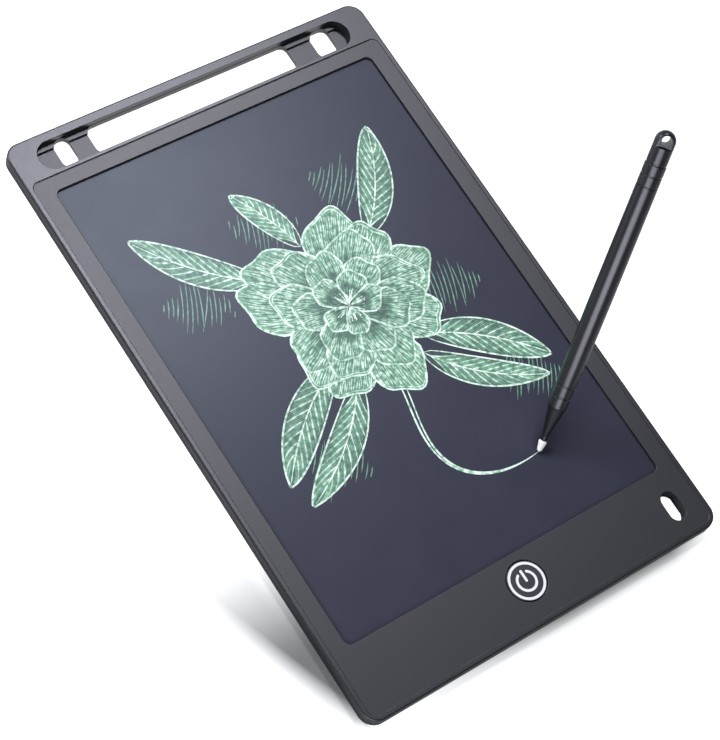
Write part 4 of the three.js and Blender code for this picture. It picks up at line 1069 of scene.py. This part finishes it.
def sketch_parts(sketch, stem_end):
    """The drawing's washes and strokes: a blossom with its leaves, and a stem that ends at the stylus.
    Strokes that lie side by side differ a little in height, so none share a face."""
    table, chance = bouquet(sketch)
    (lift, step), (line, hatch) = sketch.height, sketch.line
    film, low = film_high.z, film_high.z - TINY
    washes, marks = [], [strokes(shading(sketch, chance), hatch, film + 0.8 * lift, low, 0.34)]
    for blade in table:
        layer, leaf = blade[9:11]
        top = film + lift + 2 * layer * step
        over = top + step
        washes.append(wash(blade, top, low, 0.05 if leaf else 0.02, 0.2 if leaf else 0.42))
        hatches = leaf_strokes(blade, hatch) if leaf else petal_strokes(blade, hatch, chance, sketch.spacing)
        for paths, width, firm in hatches:
            marks.append(strokes(paths, width, over + 0.3 * step * (np.arange(len(paths)) % 2), low, firm))
        if leaf:
            spine = blade_points(blade, np.linspace(0, 0.97, 30), np.zeros(30))[None]
            marks.append(strokes(spine, line * 0.8, over + 0.45 * step, low, 0.9))
        widths, tops = np.array([0.85, 0.5]) * line, over + np.array([0.6, 0.8]) * step
        marks.append(strokes(border(blade, chance), widths, tops, low, np.array([[0.97], [0.8]])))
    top = film + lift + 30 * step
    count = 46
    ray = circle(chance.uniform(0, 2 * np.pi, count))[:, None]
    radius = chance.uniform(2.4, 6.0, count)[:, None] * MM
    raised = 0.3 * step * np.arange(count)
    for run, width, base, firm in (
        (radius * np.linspace(0.2, 1, 6), 1.1, top, 0.8),
        (radius + np.array([0, 0.5]) * MM, 4.5, top + 16 * step, 1.0),
    ):
        paths = np.array(BLOSSOM) * MM + ray * run[..., None]
        marks.append(strokes(paths, width * hatch, base + raised, low, firm))
    marks.append(strokes(stem(stem_end), line * 0.9, film + lift + np.array([0, 0.3]) * step, low, 0.9))
    return washes, marks


# Stage

def sweep_floor(stage):
    """The paper sweep: a level disc whose edge curves up, as a quarter ellipse turned about Z"""
    turn = np.linspace(0, np.pi / 2, 25)
    radius, height = stage.sweep + stage.sweep_rise * np.sin(turn), stage.sweep_rise * (1 - np.cos(turn))
    edge = np.stack([radius, height - stage.floor_gap], -1)
    inner = np.array([(0, -stage.floor_gap), (stage.sweep / 2, -stage.floor_gap)])
    mesh = mesh_of(turned(np.concatenate([inner, edge]), 96), "open")
    if mesh.polygons[0].normal.z < 0:
        mesh.flip_normals()
    mesh.shade_smooth()
    return mesh


def sweep_paper(stage):
    """Matt pale paper. What the camera, glossy and transmitted rays see of it is lifted to white: fully under
    the tablet, so its slots show white, by the stage's lift beside it, and more with the distance. Camera
    rays also see painted light close beside the walls, over the real cast shadow on the near sides. A painted
    soft shadow darkens the paper's own tone, and lowers its lift, in a fan beside the left wall, which widens
    from the near corner upwards and then fades, and in a strip along the near wall. Reflections get little of
    the lift, but all of it in the tray's slots, and the right part of the lanyard slot lies in its wall's
    shadow.
    Seen from below the paper is clear, and it lets light up to what lies within half a millimetre of it, so
    the back can be seen."""
    material = bpy.data.materials.new("Paper sweep")
    material.use_nodes = True
    tree = material.node_tree
    tree.nodes.clear()
    ray = add(tree, "ShaderNodeLightPath").node.outputs
    place = add(tree, "ShaderNodeTexCoord", output="Object")
    parts = add(tree, "ShaderNodeSeparateXYZ", {"Vector": place}).node.outputs
    beside = place
    tuck, slope = 2 * MM, 0.38
    edges = (CASE_X[1] - tuck, CASE_Y[1] - tuck, 1)
    for operation, other in (("ABSOLUTE", (0, 0, 0)), ("SUBTRACT", edges), ("MAXIMUM", (0, 0, 0))):
        beside = add(tree, "ShaderNodeVectorMath", {0: beside, 1: other}, operation=operation)
    out = add(tree, "ShaderNodeMath", {0: parts["Y"], 1: slope, 2: parts["X"]}, operation="MULTIPLY_ADD")
    values = {
        "camera": ray["Is Camera Ray"], "glossy": ray["Is Glossy Ray"], "through": ray["Is Transmission Ray"],
        "length": ray["Ray Length"], "x": parts["X"], "y": parts["Y"], "out": out,
        "beside": add(tree, "ShaderNodeVectorMath", {0: beside}, "Value", operation="LENGTH"),
        "behind": add(tree, "ShaderNodeNewGeometry", output="Backfacing")}

    # Each ramp goes from one level to another while a value, in millimetres, goes from one to another
    left, right, near = CASE_X[0] / MM, CASE_X[1] / MM, CASE_Y[0] / MM
    corner = left + slope * near
    for name, value, start, end, low, high in (
        ("fan", "out", corner - 3.7, corner + 4.8, 0, 1), ("fade", "y", -85, -32, 1, 0),
        ("above", "y", near - 3, near + 5, 0, 1), ("strip", "y", near - 6, near, 0, stage.near_shade),
        ("begin", "x", left, left + 80, 0, 1), ("end", "x", right - 20, right, 1, 0),
        ("lift", "beside", 20, 600, stage.lift, 1), ("clear_of", "beside", 5, 60, 0, 0.2),
        ("band", "beside", 3, 8, 0.5, 0), ("lit", "x", 61.3, 62.0, 1, 0),
    ):
        values[name] = add(tree, "ShaderNodeMapRange", {
            "Value": values[value], "From Min": start * MM, "From Max": end * MM, "To Min": low,
            "To Max": high})
    values["fade"].node.interpolation_type = "SMOOTHSTEP"

    # Each step combines two values, or a value and a number
    # Shade, made of the fan and the strip, is a painted soft shadow, and band is painted light for camera
    # rays close beside the walls
    for name, operation, *terms in (
        ("left", "LESS_THAN", "x", CASE_X[0] + tuck), ("shade", "MULTIPLY", "fan", "fade"),
        ("shade", "MULTIPLY", "shade", "above"), ("shade", "MULTIPLY", "shade", "left"),
        ("below", "LESS_THAN", "y", CASE_Y[0] + tuck), ("strip", "MULTIPLY", "strip", "begin"),
        ("strip", "MULTIPLY", "strip", "end"), ("strip", "MULTIPLY", "strip", "below"),
        ("shade", "MAXIMUM", "shade", "strip"), ("kept", "SUBTRACT", 1, "shade"),
        ("lift", "MULTIPLY", "lift", "kept"), ("clear_of", "MAXIMUM", "clear_of", "camera"),
        ("lift", "MULTIPLY", "lift", "clear_of"), ("band", "MULTIPLY", "band", "camera"),
        ("band", "MULTIPLY", "band", "kept"), ("band", "MULTIPLY", "band", "kept"),
        ("lift", "ADD", "lift", "band"), ("under", "LESS_THAN", "beside", 0.5 * MM),
        ("far", "GREATER_THAN", "y", 80 * MM), ("lit", "MULTIPLY", "lit", "camera"),
        ("lit", "MAXIMUM", "lit", "far"), ("under", "MULTIPLY", "under", "lit"),
        ("lift", "MAXIMUM", "lift", "under"), ("seen", "MAXIMUM", "camera", "glossy"),
        ("seen", "MAXIMUM", "seen", "through"), ("lift", "MULTIPLY", "lift", "seen"),
        ("behind", "MULTIPLY", "behind", "camera"), ("close", "LESS_THAN", "length", 0.5 * MM),
        ("clear", "MAXIMUM", "behind", "close"),
    ):
        inputs = {i: values.get(term, term) for i, term in enumerate(terms)}
        values[name] = add(tree, "ShaderNodeMath", inputs, operation=operation)

    fibre = add(tree, "ShaderNodeTexNoise", {"Vector": place, "Scale": 1 / (3 * MM)})
    tone = tuple(stage.floor)
    darker = (*[0.97 * part for part in tone[:3]], 1)
    tone = add(tree, "ShaderNodeMix", {0: fibre, 6: tone, 7: darker}, 2, data_type="RGBA")
    # The painted soft shadow: the paper's own tone is darkened by the stage's shade where the shade mask lies
    painted_shadow = add(tree, "ShaderNodeMapRange", {
        "Value": values["shade"], "To Min": 1.0, "To Max": 1 - stage.shade})
    tone = add(tree, "ShaderNodeMix", {0: 1.0, 6: tone, 7: painted_shadow}, 2, data_type="RGBA", blend_type="MULTIPLY")
    paper = add(tree, "ShaderNodeBsdfDiffuse", {"Color": tone})
    glow = add(tree, "ShaderNodeEmission", {"Strength": values["lift"]})
    white = add(tree, "ShaderNodeAddShader", {0: paper, 1: glow})
    through = add(tree, "ShaderNodeBsdfTransparent")
    mixed = add(tree, "ShaderNodeMixShader", {0: values["clear"], 1: white, 2: through})
    add(tree, "ShaderNodeOutputMaterial", {"Surface": mixed})
    return material


def softbox(name, aim, distance, size, power, target=(0, 0, 0)):
    """A lamp of a width and height that faces a target, from a direction, an angle over the floor and a
    distance"""
    bearing, height = aim
    data = bpy.data.lights.new(name, "AREA")
    data.shape, data.energy = "RECTANGLE", power
    data.size, data.size_y = size
    data.color = (0.94, 0.96, 1.0)
    level = math.cos(height)
    away = Vector((level * math.cos(bearing), level * math.sin(bearing), math.sin(height)))
    lamp = bpy.data.objects.new(name, data)
    lamp.location = Vector(target) + away * distance
    lamp.rotation_euler = away.to_track_quat("Z", "Y").to_euler()
    lamp.visible_camera = False
    bpy.context.scene.collection.objects.link(lamp)


# Operators

class FrontFrame(bpy.types.Operator):
    """Builds the upper shell with its sunk panel, window, tray and slots"""
    bl_idname = "tablet.front_frame"
    bl_label = "Front frame"

    def execute(self, context):
        scene = context.scene
        shell = frame_shell(scene.tablet_case, scene.tablet_tray, scene.tablet_button)
        show("front_shell", shell, "case", "case_plastic", "Spark textured ABS", "front_frame")
        return {"FINISHED"}


class BackCover(bpy.types.Operator):
    """Builds the lower shell with its ribs, bosses and openings"""
    bl_idname = "tablet.back_cover"
    bl_label = "Back cover"

    def execute(self, context):
        scene = context.scene
        shell = cover_shell(
            scene.tablet_case, scene.tablet_tray, scene.tablet_inside, scene.tablet_back)
        show("back_shell", shell, "case", "case_plastic", "Spark textured ABS", "back_cover")
        return {"FINISHED"}


class BackPieces(bpy.types.Operator):
    """Builds the battery door, its screw and the lock's knob"""
    bl_idname = "tablet.back_pieces"
    bl_label = "Back pieces"

    def execute(self, context):
        case, back = context.scene.tablet_case, context.scene.tablet_back
        show("door_leaf", door_leaf(case, back), "case", "case_plastic", "Spark textured ABS", "battery_door")
        show("door_screw", door_screw(back), "case", "plated_steel", "Nickel plate", "battery_door_screw")
        show(
            "lock_knob", lock_knob(back), "lock_switch_knob", "knob_plastic", "Black ABS", "lock_switch_knob")
        return {"FINISHED"}


class EraseButton(bpy.types.Operator):
    """Builds the erase button's cap and the mark printed on it"""
    bl_idname = "tablet.erase_button"
    bl_label = "Erase button"

    def execute(self, context):
        case, button = context.scene.tablet_case, context.scene.tablet_button
        cap = button_cap(case, button)
        show("button_cap", cap, "erase_button", "button_plastic", "Spark textured ABS", "erase_button")
        show("standby_mark", standby_mark(button), "erase_button", "button_plastic", "Pad printed ink")
        return {"FINISHED"}


class Stylus(bpy.types.Operator):
    """Builds the stylus's nib, grip, barrel and end cap"""
    bl_idname = "tablet.stylus"
    bl_label = "Stylus"

    def execute(self, context):
        stylus = context.scene.tablet_stylus
        place = stylus_place(stylus)
        for name, make, slot, material in (
            ("nib", nib, "nib_plastic", "White acetal"),
            ("grip", grip, "pen_plastic", "Satin ABS"),
            ("barrel", barrel, "pen_plastic", "Satin ABS"),
            ("end_cap", end_cap, "pen_plastic", "Satin ABS"),
        ):
            mesh = make(stylus)
            mesh.transform(place)
            show(f"pen_{name}", mesh, "stylus", slot, material, f"stylus_{name}")
        return {"FINISHED"}


class Drawing(bpy.types.Operator):
    """Draws a blossom with its leaves on the film, as washes and the strokes over them"""
    bl_idname = "tablet.drawing"
    bl_label = "Drawing"

    def execute(self, context):
        washes, marks = sketch_parts(context.scene.tablet_sketch, context.scene.tablet_stylus.point[:2])
        for name, parts in (("drawing_wash", washes), ("drawing_strokes", marks)):
            show(name, drawn(parts), "case", "writing_film", "Written liquid crystal film")
        return {"FINISHED"}


class CarriedFinishes(bpy.types.Operator):
    """Gives each node that keeps its own shape its finish"""
    bl_idname = "tablet.carried_finishes"
    bl_label = "Carried finishes"

    def execute(self, context):
        for material, names in CARRIED_FINISHES.items():
            for name in names:
                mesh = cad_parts[name].data
                mesh.materials.clear()
                mesh.materials.append(finish(material))
        return {"FINISHED"}


class Stage(bpy.types.Operator):
    """Sets up the paper sweep, the lamps, the ambient light and the camera"""
    bl_idname = "tablet.stage"
    bl_label = "Stage"

    def execute(self, context):
        scene = context.scene
        stage = scene.tablet_stage
        floor = bpy.data.objects.new("floor", sweep_floor(stage))
        floor.data.materials.append(sweep_paper(stage))
        scene.collection.objects.link(floor)

        stylus = scene.tablet_stylus
        upper = stylus_place(stylus) @ Vector((0, 0, 0.65 * stylus.whole))
        lamp, fill, far = stage.lamp_size, stage.fill_size, stage.lamp_distance
        for row in (
            ("softbox", stage.lamp_aim, far, (lamp, lamp), stage.lamp_power),
            ("strip_lamp", stage.side_aim, stage.side_distance, stage.side_size, stage.side_power, upper),
            ("fill_lamp", stage.fill_aim, far, (fill, fill), stage.fill_power),
            ("under_lamp", (0, -math.pi / 2), far, (2 * lamp, 2 * lamp), stage.under_power),
        ):
            softbox(*row)

        world = bpy.data.worlds.new("studio")
        world.use_nodes = True
        backdrop = world.node_tree.nodes["Background"]
        backdrop.inputs["Color"].default_value = (1, 1, 1, 1)
        backdrop.inputs["Strength"].default_value = stage.ambient
        scene.world = world

        lens = bpy.data.cameras.new("camera")
        lens.lens, lens.sensor_width, lens.sensor_fit = stage.focal, 36, "AUTO"
        camera = bpy.data.objects.new("camera", lens)
        camera.location = stage.camera_place
        camera.rotation_euler = Euler(stage.camera_turn, "XYZ")
        scene.collection.objects.link(camera)
        scene.camera = camera
        scene.view_settings.view_transform = "Standard"
        return {"FINISHED"}


class TabletPanel(bpy.types.Panel):
    """Lists the steps that build the tablet"""
    bl_idname = "VIEW3D_PT_tablet"
    bl_label = "Writing tablet"
    bl_space_type = "VIEW_3D"
    bl_region_type = "UI"
    bl_category = "Tablet"

    def draw(self, context):
        for step in STEPS:
            self.layout.operator(step.bl_idname)
        for group in SETTINGS:
            settings = getattr(context.scene, group)
            box = self.layout.box()
            for name in settings.__annotations__:
                box.prop(settings, name)


SETTINGS = {
    "tablet_case": CaseSizes,
    "tablet_tray": TraySizes,
    "tablet_inside": InsideSizes,
    "tablet_back": BackSizes,
    "tablet_button": ButtonSizes,
    "tablet_stylus": StylusSizes,
    "tablet_sketch": SketchSizes,
    "tablet_colours": Colours,
    "tablet_stage": StageSettings,
}
STEPS = (FrontFrame, BackCover, BackPieces, EraseButton, Stylus, Drawing, CarriedFinishes, Stage)


def register():
    for group in SETTINGS.values():
        bpy.utils.register_class(group)
    for name, group in SETTINGS.items():
        setattr(bpy.types.Scene, name, PointerProperty(type=group))
    for item in (*STEPS, TabletPanel):
        bpy.utils.register_class(item)


def unregister():
    for item in (TabletPanel, *reversed(STEPS)):
        bpy.utils.unregister_class(item)
    for name, group in reversed(SETTINGS.items()):
        delattr(bpy.types.Scene, name)
        bpy.utils.unregister_class(group)


def main():
    register()
    for step in STEPS:
        group, name = step.bl_idname.split(".")
        getattr(getattr(bpy.ops, group), name)()


if __name__ == "__main__":
    main()
